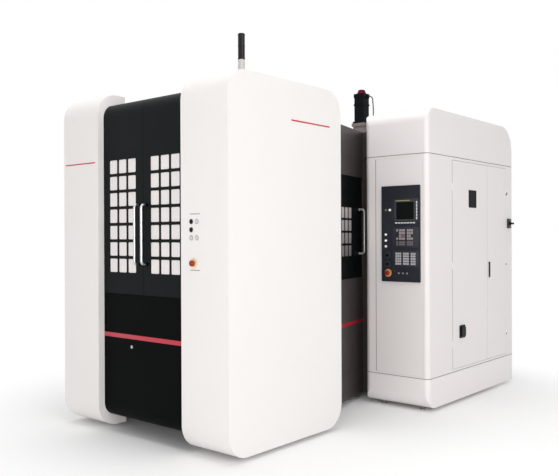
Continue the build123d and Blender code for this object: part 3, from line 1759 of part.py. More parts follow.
def plate_on_side(x, limits, thickness, radius):
    """A plate with rounded corners that faces +X, between limits along Y and Z."""
    (y_low, y_high), (z_low, z_high) = limits
    place = side_plane_at(x, (y_low + y_high) / 2, (z_low + z_high) / 2)
    return extrude(place * RectangleRounded(y_high - y_low, z_high - z_low, radius), thickness)


def make_cabinet_window():
    """The dark window in its frame, with the pane set into the door."""
    window = plate_on_side(cabinet_right, window_limits(0), window_proud, window_corner)
    pane = block((cabinet_right - door_skin, cabinet_right), *window_limits(window_edge + clearance))
    sunk = (cabinet_right + window_proud / 2, cabinet_right + window_proud + past)
    return window + pane - block(sunk, *window_limits(window_edge))


def make_service_outlet():
    """The service outlet: a flange with a raised lid, and its box behind the door's skin."""
    body = plate_on_side(cabinet_right, outlet_limits(0), outlet_proud, outlet_corner)
    lid = outlet_limits(outlet_lid_edge)
    body += plate_on_side(cabinet_right + outlet_proud, lid, outlet_lid, outlet_edge)
    depth = (cabinet_right - outlet_depth, cabinet_right)
    return body + block(depth, *outlet_limits(outlet_edge + clearance))


def make_cabinet_handle():
    """The flat lever of the small door, hanging from its pivot, with the shaft."""
    start = cabinet_right + clearance
    half = handle_width / 2
    drop = handle_length - handle_width
    face = start + handle_proud - handle_thickness
    lever = Circle(half) + Pos(0, -drop) * Circle(half) + Pos(0, -drop / 2) * Rectangle(handle_width, drop)
    handle = extrude(side_plane_at(face, handle_y, handle_z) * lever, handle_thickness)
    handle += rod((start, handle_y, handle_z), (1, 0, 0), handle_proud - handle_thickness, half)
    handle += rod((start, handle_y, handle_z), (-1, 0, 0), handle_shaft_length, handle_shaft)
    return handle


def make_main_switch():
    """The main switch's handle: a round hub with a raised grip, and its shaft."""
    start = cabinet_right + switch_plate_proud + clearance
    hub = rod((start, switch_y, switch_z), (1, 0, 0), switch_hub_height, switch_hub_radius)
    grip = RectangleRounded(switch_grip_length, switch_grip_width, switch_grip_corner)
    place = side_plane_at(start + switch_hub_height, switch_y, switch_z)
    hub += extrude(place * grip, switch_grip_height)
    shaft_length = switch_plate_proud + switch_shaft_end
    return hub + rod((start, switch_y, switch_z), (-1, 0, 0), shaft_length, switch_shaft)


def make_cabinet_front_panel():
    """The removable front panel, with the cut-out that takes the operator panel."""
    gap = front_door_gap
    reach = front_panel_reach - gap
    right = cabinet_right - front_panel_edge - gap
    panel = block(
        (front_panel_left + gap, right),
        (cabinet_front, cabinet_front + cabinet_sheet),
        (door_low - reach, door_high + reach),
    )
    panel -= block(
        (panel_left + panel_rim, panel_right - panel_rim),
        (cabinet_front - past, cabinet_front + cabinet_sheet + past),
        (panel_bottom + panel_rim, panel_top - panel_rim),
    )
    return panel


# Operator panel


def panel_face():
    return cabinet_front - panel_proud


def panel_floor():
    return panel_face() + panel_recess


def on_panel(limits, y):
    """A drawing plane at the middle of four edges given from the panel's corner, and their size."""
    left, right, low, high = limits
    place = front_plane_at(panel_left + (left + right) / 2, y, panel_bottom + (low + high) / 2)
    return place, right - left, high - low


def make_control_panel():
    """The operator panel's housing: a rim, a recessed face and a box through the cabinet front."""
    face = panel_face()
    whole = (0, panel_width, 0, panel_height)
    place, width, height = on_panel(whole, cabinet_front)
    body = extrude(place * RectangleRounded(width, height, panel_corner), panel_proud)
    recess = on_panel(whole, panel_floor())[0]
    sunk = RectangleRounded(width - 2 * panel_rim, height - 2 * panel_rim, panel_recess_corner)
    body -= extrude(recess * sunk, panel_recess + past)
    inner = panel_rim + clearance
    body += block(
        (panel_left + inner, panel_right - inner),
        (cabinet_front, cabinet_front + panel_depth),
        (panel_bottom + inner, panel_top - inner),
    )
    wall = inner + panel_wall
    body -= block(
        (panel_left + wall, panel_right - wall),
        (panel_floor() + panel_wall, cabinet_front + panel_depth + past),
        (panel_bottom + wall, panel_top - wall),
    )
    for z in (feed_dial_z, spindle_dial_z):
        body -= rod((dial_x, face - past, z), (0, 1, 0), panel_hole, dial_shaft + clearance)
    stop_start = (panel_stop_x, face - past, panel_stop_z)
    return body - rod(stop_start, (0, 1, 0), panel_hole, stop_shaft + clearance)


def make_display_screen():
    """The display: a raised frame round a set-back glass."""
    place, width, height = on_panel(screen_frame, panel_floor())
    frame = extrude(place * RectangleRounded(width, height, screen_corner), screen_proud)
    glass, glass_width, glass_height = on_panel(screen, panel_floor() - screen_proud + screen_sunk)
    return frame - extrude(glass * Rectangle(glass_width, glass_height), screen_sunk + past)


def key_rows(limits, columns, rows, share):
    """A plate with a grid of raised square keys, one solid."""
    place, width, height = on_panel(limits, panel_floor())
    pitch_x = width / columns
    pitch_z = height / rows
    caps = grid_of(columns, rows, pitch_x, pitch_z, Rectangle(pitch_x * share, pitch_z * share))
    top = on_panel(limits, panel_floor() - key_plate)[0]
    return extrude(place * Rectangle(width, height), key_plate) + extrude(top * caps, key_proud)


def make_panel_keys():
    """Every key block of the operator panel and its small fixed buttons."""
    blocks = [key_rows(entry[:4], *entry[4:]) for entry in key_blocks]
    for x, z in panel_buttons:
        start = (panel_left + x, panel_floor(), panel_bottom + z)
        button = rod(start, (0, -1, 0), panel_button_height, panel_button_radius)
        blocks.append(fillet(button.edges().group_by(Axis.Y)[0], panel_button_edge))
    return Compound(blocks)


def make_dial(z):
    """An override dial: a skirted knob with a raised pointer, and its shaft."""
    base = panel_floor() - clearance
    top = base - dial_height
    knob = rod((dial_x, base, z), (0, -1, 0), dial_skirt, dial_radius)
    knob += rod((dial_x, base, z), (0, -1, 0), dial_height, dial_grip_radius)
    knob += block(
        (dial_x - dial_pointer_half, dial_x + dial_pointer_half),
        (top - dial_pointer_proud, top + past),
        (z - dial_pointer_reach, z + dial_pointer_reach),
    )
    return knob + rod((dial_x, base, z), (0, 1, 0), dial_shaft_length, dial_shaft)


# Signal lamp


def make_lamp_base():
    base = rod((lamp_x, lamp_y, cover_top), (0, 0, 1), lamp_foot_height, lamp_radius + lamp_foot_reach)
    return base + rod((lamp_x, lamp_y, cover_top), (0, 0, 1), lamp_base_height, lamp_radius)


def make_lamp_lens():
    """The lens with a domed top and three raised rings."""
    low = cover_top + lamp_base_height
    lens = rod((lamp_x, lamp_y, low), (0, 0, 1), lamp_lens_height, lamp_radius)
    lens = fillet(lens.edges().group_by(Axis.Z)[-1], lamp_dome)
    for share in lamp_ring_places:
        ring_low = low + lamp_lens_height * share
        lens += rod((lamp_x, lamp_y, ring_low), (0, 0, 1), lamp_ring_height, lamp_radius + lamp_ring_reach)
    return lens


# Motor cable


def cable_y():
    return y_screw_y + servo_plug_y


def make_motor_cable():
    """The motor's power cable: out of the plug, down beside the mount and into the gland."""
    start_x = servo_half + servo_plug_proud
    start_z = servo_top - servo_plug_top - servo_plug_height / 2
    bow_z = start_z - cable_bow_drop
    points = [
        (start_x, cable_y(), start_z),
        (cable_drop_x - cable_bow, cable_y(), start_z),
        (cable_drop_x + cable_bow, cable_y(), bow_z),
        (cable_drop_x, cable_y(), column_top + cable_straight),
        (cable_drop_x, cable_y(), column_top),
    ]
    path = FilletPolyline(*points, radius=[cable_bend, cable_sweep, cable_sweep])
    start = Plane(origin=points[0], z_dir=(1, 0, 0))
    return sweep(start * Circle(cable_radius), path=path)


def build():
    """Every named piece of the machine."""
    shell = cabinet_shell()
    start_button, reset_button = make_station_buttons()
    return {
        "machine_bed": make_machine_bed(),
        "levelling_pads": make_levelling_pads(),
        "bed_linear_rails": make_bed_linear_rails(),
        "bed_servo_motors": make_bed_servo_motors(),
        "left_front_cover": make_left_front_cover(),
        "right_front_cover": make_right_front_cover(),
        "lower_front_panel": make_lower_front_panel(),
        "station_frame": make_station_frame(),
        "side_wall": make_side_wall(),
        "rear_enclosure": make_rear_enclosure(),
        "cabinet_body": make_cabinet_body(shell),
        "cabinet_cap": make_cabinet_cap(shell),
        "cabinet_skirt": make_cabinet_skirt(shell),
        "cabinet_front_panel": make_cabinet_front_panel(),
        "control_panel": make_control_panel(),
        "display_screen": make_display_screen(),
        "panel_keys": make_panel_keys(),
        "service_outlet": make_service_outlet(),
        "lamp_base": make_lamp_base(),
        "lamp_lens": make_lamp_lens(),
        "tool_changer_stand": make_changer_stand(),
        "front_left_leaf": make_front_leaf(-1),
        "front_left_window": make_front_window(-1),
        "front_left_handle": make_front_handle(-1),
        "front_right_leaf": make_front_leaf(1),
        "front_right_window": make_front_window(1),
        "front_right_handle": make_front_handle(1),
        "side_door": make_side_door(),
        "side_door_window": make_side_window(),
        "side_door_handle": make_side_handle(),
        "column": make_column(),
        "y_servo_motor": make_y_servo(),
        "motor_cable": make_motor_cable(),
        "x_ball_screw": make_x_ball_screw(),
        "y_ball_screw": make_y_ball_screw(),
        "z_ball_screw": make_z_ball_screw(),
        "spindle_head": make_spindle_head(),
        "spindle": make_spindle(),
        "table_saddle": make_table_saddle(),
        "rotary_table": make_rotary_table(),
        "machining_pallet": make_pallet(table_y),
        "changer_lift": make_changer_lift(),
        "changer_fork": make_changer_fork(),
        "changer_partition": make_changer_partition(),
        "loading_pallet": make_pallet(changer_y - changer_reach),
        "magazine_disc": make_magazine_disc(),
        "arm_shaft": make_arm_shaft(),
        "tool_change_arm": make_tool_arm(),
        "station_stop_button": stop_button(stop_x, station_front, stop_z),
        "start_button": start_button,
        "reset_button": reset_button,
        "station_lamps": make_station_lamps(),
        "panel_stop_button": stop_button(panel_stop_x, panel_floor(), panel_stop_z),
        "feed_dial": make_dial(feed_dial_z),
        "spindle_dial": make_dial(spindle_dial_z),
        "main_switch": make_main_switch(),
        "large_cabinet_door": make_large_cabinet_door(),
        "small_cabinet_door": make_small_cabinet_door(),
        "cabinet_window": make_cabinet_window(),
        "cabinet_door_handle": make_cabinet_handle(),
    }


os.makedirs("parts", exist_ok=True)
for name, piece in build().items():
    export_step(piece, f"parts/{name}.step")
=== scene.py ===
import math
import bmesh
import bpy
from mathutils import Matrix, Vector


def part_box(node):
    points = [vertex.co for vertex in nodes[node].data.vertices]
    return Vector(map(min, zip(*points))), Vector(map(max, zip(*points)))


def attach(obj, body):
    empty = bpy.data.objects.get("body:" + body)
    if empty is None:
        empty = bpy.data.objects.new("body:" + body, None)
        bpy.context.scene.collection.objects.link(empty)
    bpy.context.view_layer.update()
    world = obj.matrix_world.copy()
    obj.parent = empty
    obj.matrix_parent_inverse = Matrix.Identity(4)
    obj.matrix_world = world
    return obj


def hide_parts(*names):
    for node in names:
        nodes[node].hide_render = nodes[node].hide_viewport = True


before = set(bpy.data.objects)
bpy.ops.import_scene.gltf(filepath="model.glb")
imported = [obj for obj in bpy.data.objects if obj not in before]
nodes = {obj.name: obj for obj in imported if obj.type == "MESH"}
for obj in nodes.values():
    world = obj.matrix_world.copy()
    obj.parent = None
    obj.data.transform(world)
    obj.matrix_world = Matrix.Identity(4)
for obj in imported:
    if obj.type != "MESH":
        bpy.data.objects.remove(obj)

MM = 0.001
scene = bpy.context.scene
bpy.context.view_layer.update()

# Node helpers: textures and masks lie in the part's own frame, in metres

MIX_FIRST, MIX_SECOND, MIX_RESULT = 6, 7, 2
PLAIN_SHINE = 0.5


def new_material(name):
    """A node material, its node tree and its shader."""
    material = bpy.data.materials.new(name)
    material.use_nodes = True
    shader = material.node_tree.nodes["Principled BSDF"]
    return material, material.node_tree, shader


def add_node(tree, kind, **values):
    node = tree.nodes.new(kind)
    for key, value in values.items():
        setattr(node, key, value)
    return node


def feed(tree, socket, value):
    """Links a socket to another one, or writes a number or a colour into it."""
    if isinstance(value, bpy.types.NodeSocket):
        tree.links.new(value, socket)
    elif isinstance(value, tuple):
        socket.default_value = (*value, 1)
    else:
        socket.default_value = value


def object_point(tree):
    return add_node(tree, "ShaderNodeTexCoord").outputs["Object"]


def coordinates(tree):
    """The X, Y and Z of the shaded point."""
    split = add_node(tree, "ShaderNodeSeparateXYZ")
    tree.links.new(object_point(tree), split.inputs["Vector"])
    return split.outputs


def noise(tree, scale, detail=2.0):
    texture = add_node(tree, "ShaderNodeTexNoise")
    texture.inputs["Scale"].default_value = scale
    texture.inputs["Detail"].default_value = detail
    tree.links.new(object_point(tree), texture.inputs["Vector"])
    return texture.outputs["Fac"]


def ramp(tree, source, low=0.0, high=1.0, start=0.0, end=1.0, **more):
    """Maps a source from start and end to values from low to high."""
    node = add_node(tree, "ShaderNodeMapRange", **more)
    node.inputs["From Min"].default_value = start
    node.inputs["From Max"].default_value = end
    node.inputs["To Min"].default_value = low
    node.inputs["To Max"].default_value = high
    tree.links.new(source, node.inputs["Value"])
    return node.outputs["Result"]


def maths(tree, operation, *values):
    """One sum of sockets and numbers."""
    node = add_node(tree, "ShaderNodeMath", operation=operation)
    for socket, value in zip(node.inputs, values):
        feed(tree, socket, value)
    return node.outputs["Value"]


def mixed(tree, factor, first, second):
    """A colour between two colours or sockets."""
    node = add_node(tree, "ShaderNodeMix", data_type="RGBA")
    tree.links.new(factor, node.inputs["Factor"])
    feed(tree, node.inputs[MIX_FIRST], first)
    feed(tree, node.inputs[MIX_SECOND], second)
    return node.outputs[MIX_RESULT]


def bump(tree, shader, source, strength, distance):
    node = add_node(tree, "ShaderNodeBump")
    node.inputs["Strength"].default_value = strength
    node.inputs["Distance"].default_value = distance
    tree.links.new(source, node.inputs["Height"])
    tree.links.new(node.outputs["Normal"], shader.inputs["Normal"])


def shade(colour, amount):
    return tuple(min(1.0, part * amount) for part in colour)


def dress(tree, shader, tint, gloss, coat=0.0, shine=PLAIN_SHINE):
    """Links a colour and a roughness to the shader, and sets its coat and its specular level."""
    tree.links.new(tint, shader.inputs["Base Color"])
    tree.links.new(gloss, shader.inputs["Roughness"])
    shader.inputs["Coat Weight"].default_value = coat
    shader.inputs["Specular IOR Level"].default_value = shine


# Kinds of material


def paint(name, colour, roughness, grain=420.0, coat=0.0, spread=0.05, shine=PLAIN_SHINE):
    """Powder or spray paint: slight cloudiness of colour and gloss, and a fine orange-peel."""
    material, tree, shader = new_material(name)
    clouds = noise(tree, scale=1.7, detail=3.0)
    tint = mixed(tree, clouds, shade(colour, 1 - spread), shade(colour, 1 + spread * 0.4))
    gloss = ramp(tree, noise(tree, scale=9.0), roughness - 0.05, roughness + 0.06)
    dress(tree, shader, tint, gloss, coat, shine)
    bump(tree, shader, noise(tree, grain), strength=0.12, distance=0.0006)
    return material


def metal(name, colour, roughness, strength=0.15):
    """Bare metal with a fine grain in its gloss."""
    material, tree, shader = new_material(name)
    grain = noise(tree, scale=600.0)
    tint = mixed(tree, noise(tree, scale=12.0), shade(colour, 0.9), colour)
    dress(tree, shader, tint, ramp(tree, grain, roughness - 0.08, roughness + 0.1))
    shader.inputs["Metallic"].default_value = 1.0
    bump(tree, shader, grain, strength, distance=0.0003)
    return material


def casting(name, colour, roughness=0.55):
    """A painted casting: a coarse sand texture under the paint."""
    material, tree, shader = new_material(name)
    clouds = noise(tree, scale=6.0, detail=4.0)
    tint = mixed(tree, clouds, shade(colour, 0.86), shade(colour, 1.05))
    gloss = ramp(tree, noise(tree, scale=40.0), roughness - 0.08, roughness + 0.1)
    dress(tree, shader, tint, gloss)
    bump(tree, shader, noise(tree, scale=130.0, detail=4.0), strength=0.3, distance=0.0012)
    return material


def plastic(name, colour, roughness, grain=900.0, coat=0.0, drift=0.04, shine=PLAIN_SHINE):
    """Moulded plastic: a fine spark-eroded grain and a slight drift of colour."""
    material, tree, shader = new_material(name)
    tint = mixed(tree, noise(tree, scale=25.0), shade(colour, 1 - drift), shade(colour, 1 + drift))
    gloss = ramp(tree, noise(tree, scale=60.0), roughness - 0.05, roughness + 0.07)
    dress(tree, shader, tint, gloss, coat, shine)
    bump(tree, shader, noise(tree, grain), strength=0.15, distance=0.0004)
    return material


def lens(name, colour, glow=0.0, roughness=0.15, coat=0.5, shine=PLAIN_SHINE):
    """A translucent moulded lens, which may glow a little."""
    material, tree, shader = new_material(name)
    tint = mixed(tree, noise(tree, scale=80.0), shade(colour, 0.92), colour)
    gloss = ramp(tree, noise(tree, scale=200.0), roughness, roughness + 0.08)
    dress(tree, shader, tint, gloss, coat, shine)
    shader.inputs["Subsurface Weight"].default_value = 0.15
    shader.inputs["Subsurface Radius"].default_value = (0.01, 0.01, 0.01)
    if glow:
        tree.links.new(tint, shader.inputs["Emission Color"])
        shader.inputs["Emission Strength"].default_value = glow
    return material


def screen(name):
    """A dark display under glass, with faint rows."""
    material, tree, shader = new_material(name)
    rows = add_node(tree, "ShaderNodeTexWave", bands_direction="Z")
    rows.inputs["Scale"].default_value = 160.0
    tree.links.new(object_point(tree), rows.inputs["Vector"])
    tint = mixed(tree, rows.outputs["Fac"], (0.004, 0.006, 0.006), (0.007, 0.010, 0.009))
    dress(tree, shader, tint, ramp(tree, noise(tree, scale=30.0), 0.12, 0.2), shine=0.2)
    return material


# Changes of colour over a finished material


def painted(material):
    """A material's tree, its shader's colour socket and what is linked to it."""
    tree = material.node_tree
    socket = tree.nodes["Principled BSDF"].inputs["Base Color"]
    return tree, socket, socket.links[0].from_socket


def seamed(material, heights, half, colour):
    """Thin joints in another colour at given heights."""
    tree, socket, base = painted(material)
    place = coordinates(tree)
    for height in heights:
        near = maths(tree, "COMPARE", place["Z"], height, half)
        base = mixed(tree, near, base, colour)
    tree.links.new(base, socket)
    return material


def repainted(material, colour, *limits):
    """Another colour where each coordinate is above or below its limit."""
    tree, socket, base = painted(material)
    place = coordinates(tree)
    masks = [maths(tree, side, place[axis], limit) for axis, side, limit in limits]
    share = masks[0]
    for mask in masks[1:]:
        share = maths(tree, "MULTIPLY", share, mask)
    tree.links.new(mixed(tree, share, base, colour), socket)
    return material


def faded(material, low, high, colour):
    """The colour below a low height, which fades into the material's own by a high one."""
    tree, socket, base = painted(material)
    fade = ramp(tree, coordinates(tree)["Z"], start=low, end=high)
    tree.links.new(mixed(tree, fade, colour, base), socket)
    return material


# Finishes

WHITE = (0.84, 0.81, 0.79)
PALE = (0.79, 0.75, 0.74)
# The skirt's colour is the cabinet's pale made lighter: painted light for the low skirt, which the lamps
# light less
SKIRT_LIT_PALE = (0.83, 0.79, 0.78)
# The levelling feet below the skirt are painted dark grey: painted shade for the dark gap under the
# cabinet
FOOT_SHADE_GREY = (0.16, 0.155, 0.155)
CAST_GREY = (0.42, 0.43, 0.42)
MOUNT_BROWN = (0.20, 0.165, 0.16)
WALL_BROWN = (0.062, 0.052, 0.049)
SEAM_BROWN = (0.012, 0.011, 0.011)
NEAR_BLACK = (0.0055, 0.0072, 0.008)
LOW_BLACK = (0.0022, 0.0026, 0.0026)
DOOR_BLACK = (0.004, 0.0055, 0.006)
PLASTIC_BLACK = (0.008, 0.008, 0.009)
MOTOR_BLACK = (0.0055, 0.006, 0.0075)
MOTOR_RED = (0.12, 0.003, 0.016)
FRAME_GREY = (0.055, 0.056, 0.064)
RED = (0.50, 0.012, 0.034)
PANE = (0.60, 0.53, 0.52)
# The colour the side door's pane darkens to at its bottom: painted shade of the interior behind it
PANE_SHADE = (0.20, 0.18, 0.18)

CABINET_PAINT = {"roughness": 0.4, "coat": 0.1, "spread": 0.02}
DARK_PAINT = {"roughness": 0.45, "grain": 700.0, "spread": 0.2}

# Places of the masks in metres
FOOT_TOP = 0.0295
HANDLE_FOOT = -1.975
SWITCH_BLOCK_X, SWITCH_BLOCK_Y = 1.2712, 1.86
COLUMN_TOP = 2.602
MOTOR_CAP = 3.0985
SCREEN_GLASS = 0.1705
WALL_SEAMS, WALL_SEAM_HALF = (0.3, 2.3), 0.0018
# Heights over which the side pane's painted shade fades into the pane's own colour
PANE_SHADE_FADE = (1.38, 1.82)

materials = {
    "cover": paint("cover_paint", WHITE, 0.36, coat=0.15, spread=0.02),
    "cabinet": paint("cabinet_paint", PALE, **CABINET_PAINT),
    # The skirt: a lightened copy of the cabinet paint as painted light, and painted shade on the feet
    # below the skirt's bottom
    "skirt": repainted(
        paint("skirt_paint", SKIRT_LIT_PALE, **CABINET_PAINT), FOOT_SHADE_GREY, ("Z", "LESS_THAN", FOOT_TOP)
    ),
    "cabinet_body": repainted(
        paint("cabinet_body_paint", PALE, **CABINET_PAINT), PLASTIC_BLACK,
        ("X", "GREATER_THAN", SWITCH_BLOCK_X), ("Y", "GREATER_THAN", SWITCH_BLOCK_Y),
    ),
    "front": paint("front_paint", NEAR_BLACK, **DARK_PAINT, shine=0.08),
    "low_front": paint("low_front_paint", LOW_BLACK, **DARK_PAINT, shine=0.03),
    "door": paint("side_door_paint", DOOR_BLACK, **DARK_PAINT, shine=0.08),
    "wall": seamed(
        paint("wall_paint", WALL_BROWN, 0.42, spread=0.12), WALL_SEAMS, WALL_SEAM_HALF, SEAM_BROWN
    ),
    "enclosure": paint("enclosure_paint", (0.55, 0.54, 0.52), 0.45),
    "panel": paint("panel_paint", (0.017, 0.019, 0.027), 0.4, grain=800.0, spread=0.15),
    "panel_plate": paint("panel_plate_paint", (0.026, 0.028, 0.038), 0.42, grain=800.0, spread=0.12),
    "red_trim": paint("red_stripe", RED, 0.35, coat=0.3),
    "casting": casting("casting_paint", CAST_GREY),
    "column": repainted(
        casting("column_paint", CAST_GREY), MOUNT_BROWN, ("Z", "GREATER_THAN", COLUMN_TOP)
    ),
    "bare_casting": metal("machined_casting", (0.32, 0.32, 0.33), 0.42),
    "steel": metal("ground_steel", (0.58, 0.58, 0.60), 0.28),
    "dark_steel": metal("blackened_steel", (0.09, 0.09, 0.095), 0.4),
    "tool": metal("tool_steel", (0.24, 0.24, 0.25), 0.3),
    "zinc": metal("zinc_plate", (0.52, 0.53, 0.53), 0.42),
    "satin": metal("satin_tube", (0.72, 0.71, 0.71), 0.5, strength=0.03),
    "front_handle": repainted(
        metal("front_handle_tube", (0.62, 0.62, 0.63), 0.3, strength=0.01), (0.012, 0.013, 0.014),
        ("Y", "GREATER_THAN", HANDLE_FOOT),
    ),
    "window": plastic("window_sheet", (0.82, 0.77, 0.76), 0.25, grain=300.0, coat=0.2, drift=0.02),
    # The side door's pane: painted shade, darker towards the bottom, for the dark interior behind it
    "side_window": faded(plastic("side_window_sheet", PANE, 0.3, grain=300.0), *PANE_SHADE_FADE, PANE_SHADE),
    "dark_window": plastic("dark_window_sheet", (0.006, 0.006, 0.009), 0.35, grain=300.0, shine=0.04),
    "servo": repainted(
        plastic("servo_housing", MOTOR_BLACK, 0.42, grain=400.0, shine=0.05), MOTOR_RED,
        ("Z", "GREATER_THAN", MOTOR_CAP),
    ),
    "bed_servo": plastic("bed_servo_housing", (0.012, 0.013, 0.016), 0.4, grain=400.0, shine=0.3),
    "display": repainted(screen("display_frame"), FRAME_GREY, ("Y", "LESS_THAN", SCREEN_GLASS)),
    "grey_key": plastic("grey_keys", (0.36, 0.355, 0.36), 0.45),
    "pale_key": plastic("pale_keys", (0.62, 0.61, 0.60), 0.42),
    "data_key": plastic("data_keys", (0.34, 0.30, 0.30), 0.45),
    "low_data_key": plastic("low_data_keys", (0.17, 0.14, 0.145), 0.45),
    "machine_key": plastic("machine_keys", (0.47, 0.455, 0.48), 0.42),
    "red_key": plastic("red_keys", (0.22, 0.13, 0.13), 0.42),
    "dark_key": plastic("dark_keys", (0.02, 0.02, 0.024), 0.42),
    "red_plastic": plastic("red_plastic", (0.30, 0.018, 0.012), 0.35, coat=0.2, shine=0.3),
    "black_plastic": plastic("black_plastic", PLASTIC_BLACK, 0.42, shine=0.12),
    "grey_plastic": plastic("grey_plastic", (0.25, 0.255, 0.26), 0.42),
    "lamp_base": plastic("lamp_base", (0.52, 0.5, 0.48), 0.35),
    "rubber": plastic("cable_sheath", (0.055, 0.053, 0.057), 0.55, grain=300.0),
    "seal": plastic("joint_seal", (0.05, 0.045, 0.048), 0.6, grain=300.0, shine=0.1),
    "orange": plastic("orange_plate", (0.60, 0.30, 0.10), 0.4),
    "pale_yellow": plastic("pale_yellow_plate", (0.86, 0.70, 0.36), 0.4),
    "dim_yellow": plastic("screen_bar", (0.34, 0.31, 0.10), 0.4),
    "dial_plate": plastic("dial_plate", (0.045, 0.047, 0.055), 0.4),
    "label": plastic("blank_label", (0.30, 0.30, 0.31), 0.3),
    "white_button": lens("white_button", (0.9, 0.9, 0.88), glow=0.25),
    "green_lamp": lens("green_lamp", (0.2, 0.36, 0.24), glow=0.1),
    "clear_lamp": lens("clear_lamp", (0.62, 0.62, 0.61)),
    "smoked": lens("smoked_lens", (0.014, 0.013, 0.013), roughness=0.2, coat=0.05, shine=0.15),
}

node_finish = {
    "machine_bed": "casting",
    "levelling_pads": "steel",
    "bed_linear_rails": "steel",
    "bed_servo_motors": "bed_servo",
    "left_front_cover": "cover",
    "right_front_cover": "cover",
    "lower_front_panel": "low_front",
    "station_frame": "front",
    "side_wall": "wall",
    "rear_enclosure": "enclosure",
    "cabinet_body": "cabinet_body",
    "cabinet_cap": "cabinet",
    "cabinet_skirt": "skirt",
    "cabinet_front_panel": "cabinet",
    "control_panel": "panel",
    "display_screen": "display",
    "panel_keys": "grey_key",
    "service_outlet": "black_plastic",
    "lamp_base": "lamp_base",
    "lamp_lens": "smoked",
    "tool_changer_stand": "casting",
    "front_left_leaf": "front",
    "front_left_window": "window",
    "front_left_handle": "front_handle",
    "front_right_leaf": "front",
    "front_right_window": "window",
    "front_right_handle": "front_handle",
    "side_door": "door",
    "side_door_window": "side_window",
    "side_door_handle": "satin",
    "column": "column",
    "y_servo_motor": "servo",
    "motor_cable": "rubber",
    "x_ball_screw": "steel",
    "y_ball_screw": "steel",
    "z_ball_screw": "steel",
    "spindle_head": "casting",
    "spindle": "steel",
    "table_saddle": "bare_casting",
    "rotary_table": "steel",
    "machining_pallet": "bare_casting",
    "changer_lift": "steel",
    "changer_fork": "casting",
    "changer_partition": "enclosure",
    "loading_pallet": "bare_casting",
    "magazine_disc": "tool",
    "arm_shaft": "steel",
    "tool_change_arm": "dark_steel",
    "station_stop_button": "red_plastic",
    "start_button": "black_plastic",
    "reset_button": "black_plastic",
    "station_lamps": "clear_lamp",
    "panel_stop_button": "red_plastic",
    "feed_dial": "black_plastic",
    "spindle_dial": "black_plastic",
    "main_switch": "black_plastic",
    "large_cabinet_door": "cabinet",
    "small_cabinet_door": "cabinet",
    "cabinet_window": "dark_window",
    "cabinet_door_handle": "black_plastic",
}


def finish_nodes():
    for name, obj in nodes.items():
        obj.data.materials.clear()
        obj.data.materials.append(materials[node_finish[name]])


# Mesh helpers: lengths in millimetres, and a span is a low and a high coordinate

RIGHT, LEFT = (1, 0, 0), (-1, 0, 0)
BACKWARD, FORWARD = (0, 1, 0), (0, -1, 0)
SHARP_ANGLE = math.radians(32)
RING_CHAMFER = 0.3
SUNK = 1.0


def point(x, y, z):
    return Vector((x, y, z)) * MM


def corners(node):
    """The lowest and the highest corner of a CAD node."""
    low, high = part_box(node)
    return low / MM, high / MM


def centre_of(node):
    low, high = corners(node)
    return (low + high) / 2


def around(middle, half):
    """The span of a half width round a middle."""
    return middle - half, middle + half


def onward(start, length):
    """The span of a length from a start."""
    return start, start + length


def widened(span, by):
    return span[0] - by, span[1] + by


def new_piece(name, mesh, material, body="machine", place=None):
    """Turns a bmesh into a piece that rides on a body."""
    bmesh.ops.recalc_face_normals(mesh, faces=mesh.faces)
    data = bpy.data.meshes.new(name)
    mesh.to_mesh(data)
    mesh.free()
    obj = bpy.data.objects.new(name, data)
    scene.collection.objects.link(obj)
    if place:
        data.transform(place)
    data.materials.append(materials[material])
    data.shade_smooth()
    data.set_sharp_from_angle(angle=SHARP_ANGLE)
    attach(obj, body)
    return obj


def edges_of(made):
    return list({edge for vert in made["verts"] for edge in vert.link_edges})


def add_box(mesh, x_span, y_span, z_span, bevel=0.0):
    """A box between three spans, with its edges rounded by the bevel."""
    spans = (x_span, y_span, z_span)
    middle = point(*[(low + high) / 2 for low, high in spans])
    size = [(high - low) * MM for low, high in spans]
    place = Matrix.Translation(middle) @ Matrix.Diagonal((*size, 1))
    made = bmesh.ops.create_cube(mesh, size=1, matrix=place)
    if bevel:
        bmesh.ops.bevel(
            mesh, geom=edges_of(made), offset=bevel * MM, segments=2, affect="EDGES", profile=0.6
        )


def add_rod(mesh, start, direction, length, radius, top=None, segments=32):
    """A round bar from a point along a direction, or a cone where its top has its own radius."""
    along = Vector(direction).normalized()
    middle = point(*start) + along * length * MM / 2
    turn = along.to_track_quat("Z", "Y").to_matrix().to_4x4()
    bmesh.ops.create_cone(
        mesh, cap_ends=True, segments=segments, radius1=radius * MM,
        radius2=(radius if top is None else top) * MM, depth=length * MM,
        matrix=Matrix.Translation(middle) @ turn,
    )


def add_ring(mesh, centre, direction, inner, outer, thickness, segments=48):
    """A flat ring with a chamfered rim, whose back face is centred on a point."""
    along = Vector(direction).normalized()
    turn = along.to_track_quat("Z", "Y").to_matrix()
    chamfer = thickness * RING_CHAMFER
    profile = (
        (inner, 0),
        (outer, 0),
        (outer, thickness - chamfer),
        (outer - chamfer, thickness),
        (inner, thickness),
    )
    rows = []
    for radius, height in profile:
        row = []
        for step in range(segments):
            angle = 2 * math.pi * step / segments
            local = Vector((radius * math.cos(angle), radius * math.sin(angle), height))
            row.append(mesh.verts.new(point(*centre) + turn @ local * MM))
        rows.append(row)
    for first, second in zip(rows, rows[1:] + rows[:1]):
        for step in range(segments):
            after = (step + 1) % segments
            mesh.faces.new((first[step], first[after], second[after], second[step]))


# Trim on the covers and the dark front

cover_low, cover_high = corners("right_front_cover")
COVER_FRONT, COVER_SIDE = cover_low.y, cover_high.x
DARK_FRONT = corners("lower_front_panel")[0].y
LINE_PROUD, STRIPE_PROUD = 0.8, 1.2
LINE_BEVEL, STRIPE_BEVEL = 0.3, 0.4

FRONT_STRIPE_HALF = 489
FRONT_STRIPE_HEIGHTS = (770, 804)
FRONT_LOCK_X, FRONT_LOCK_Z = -145, 709


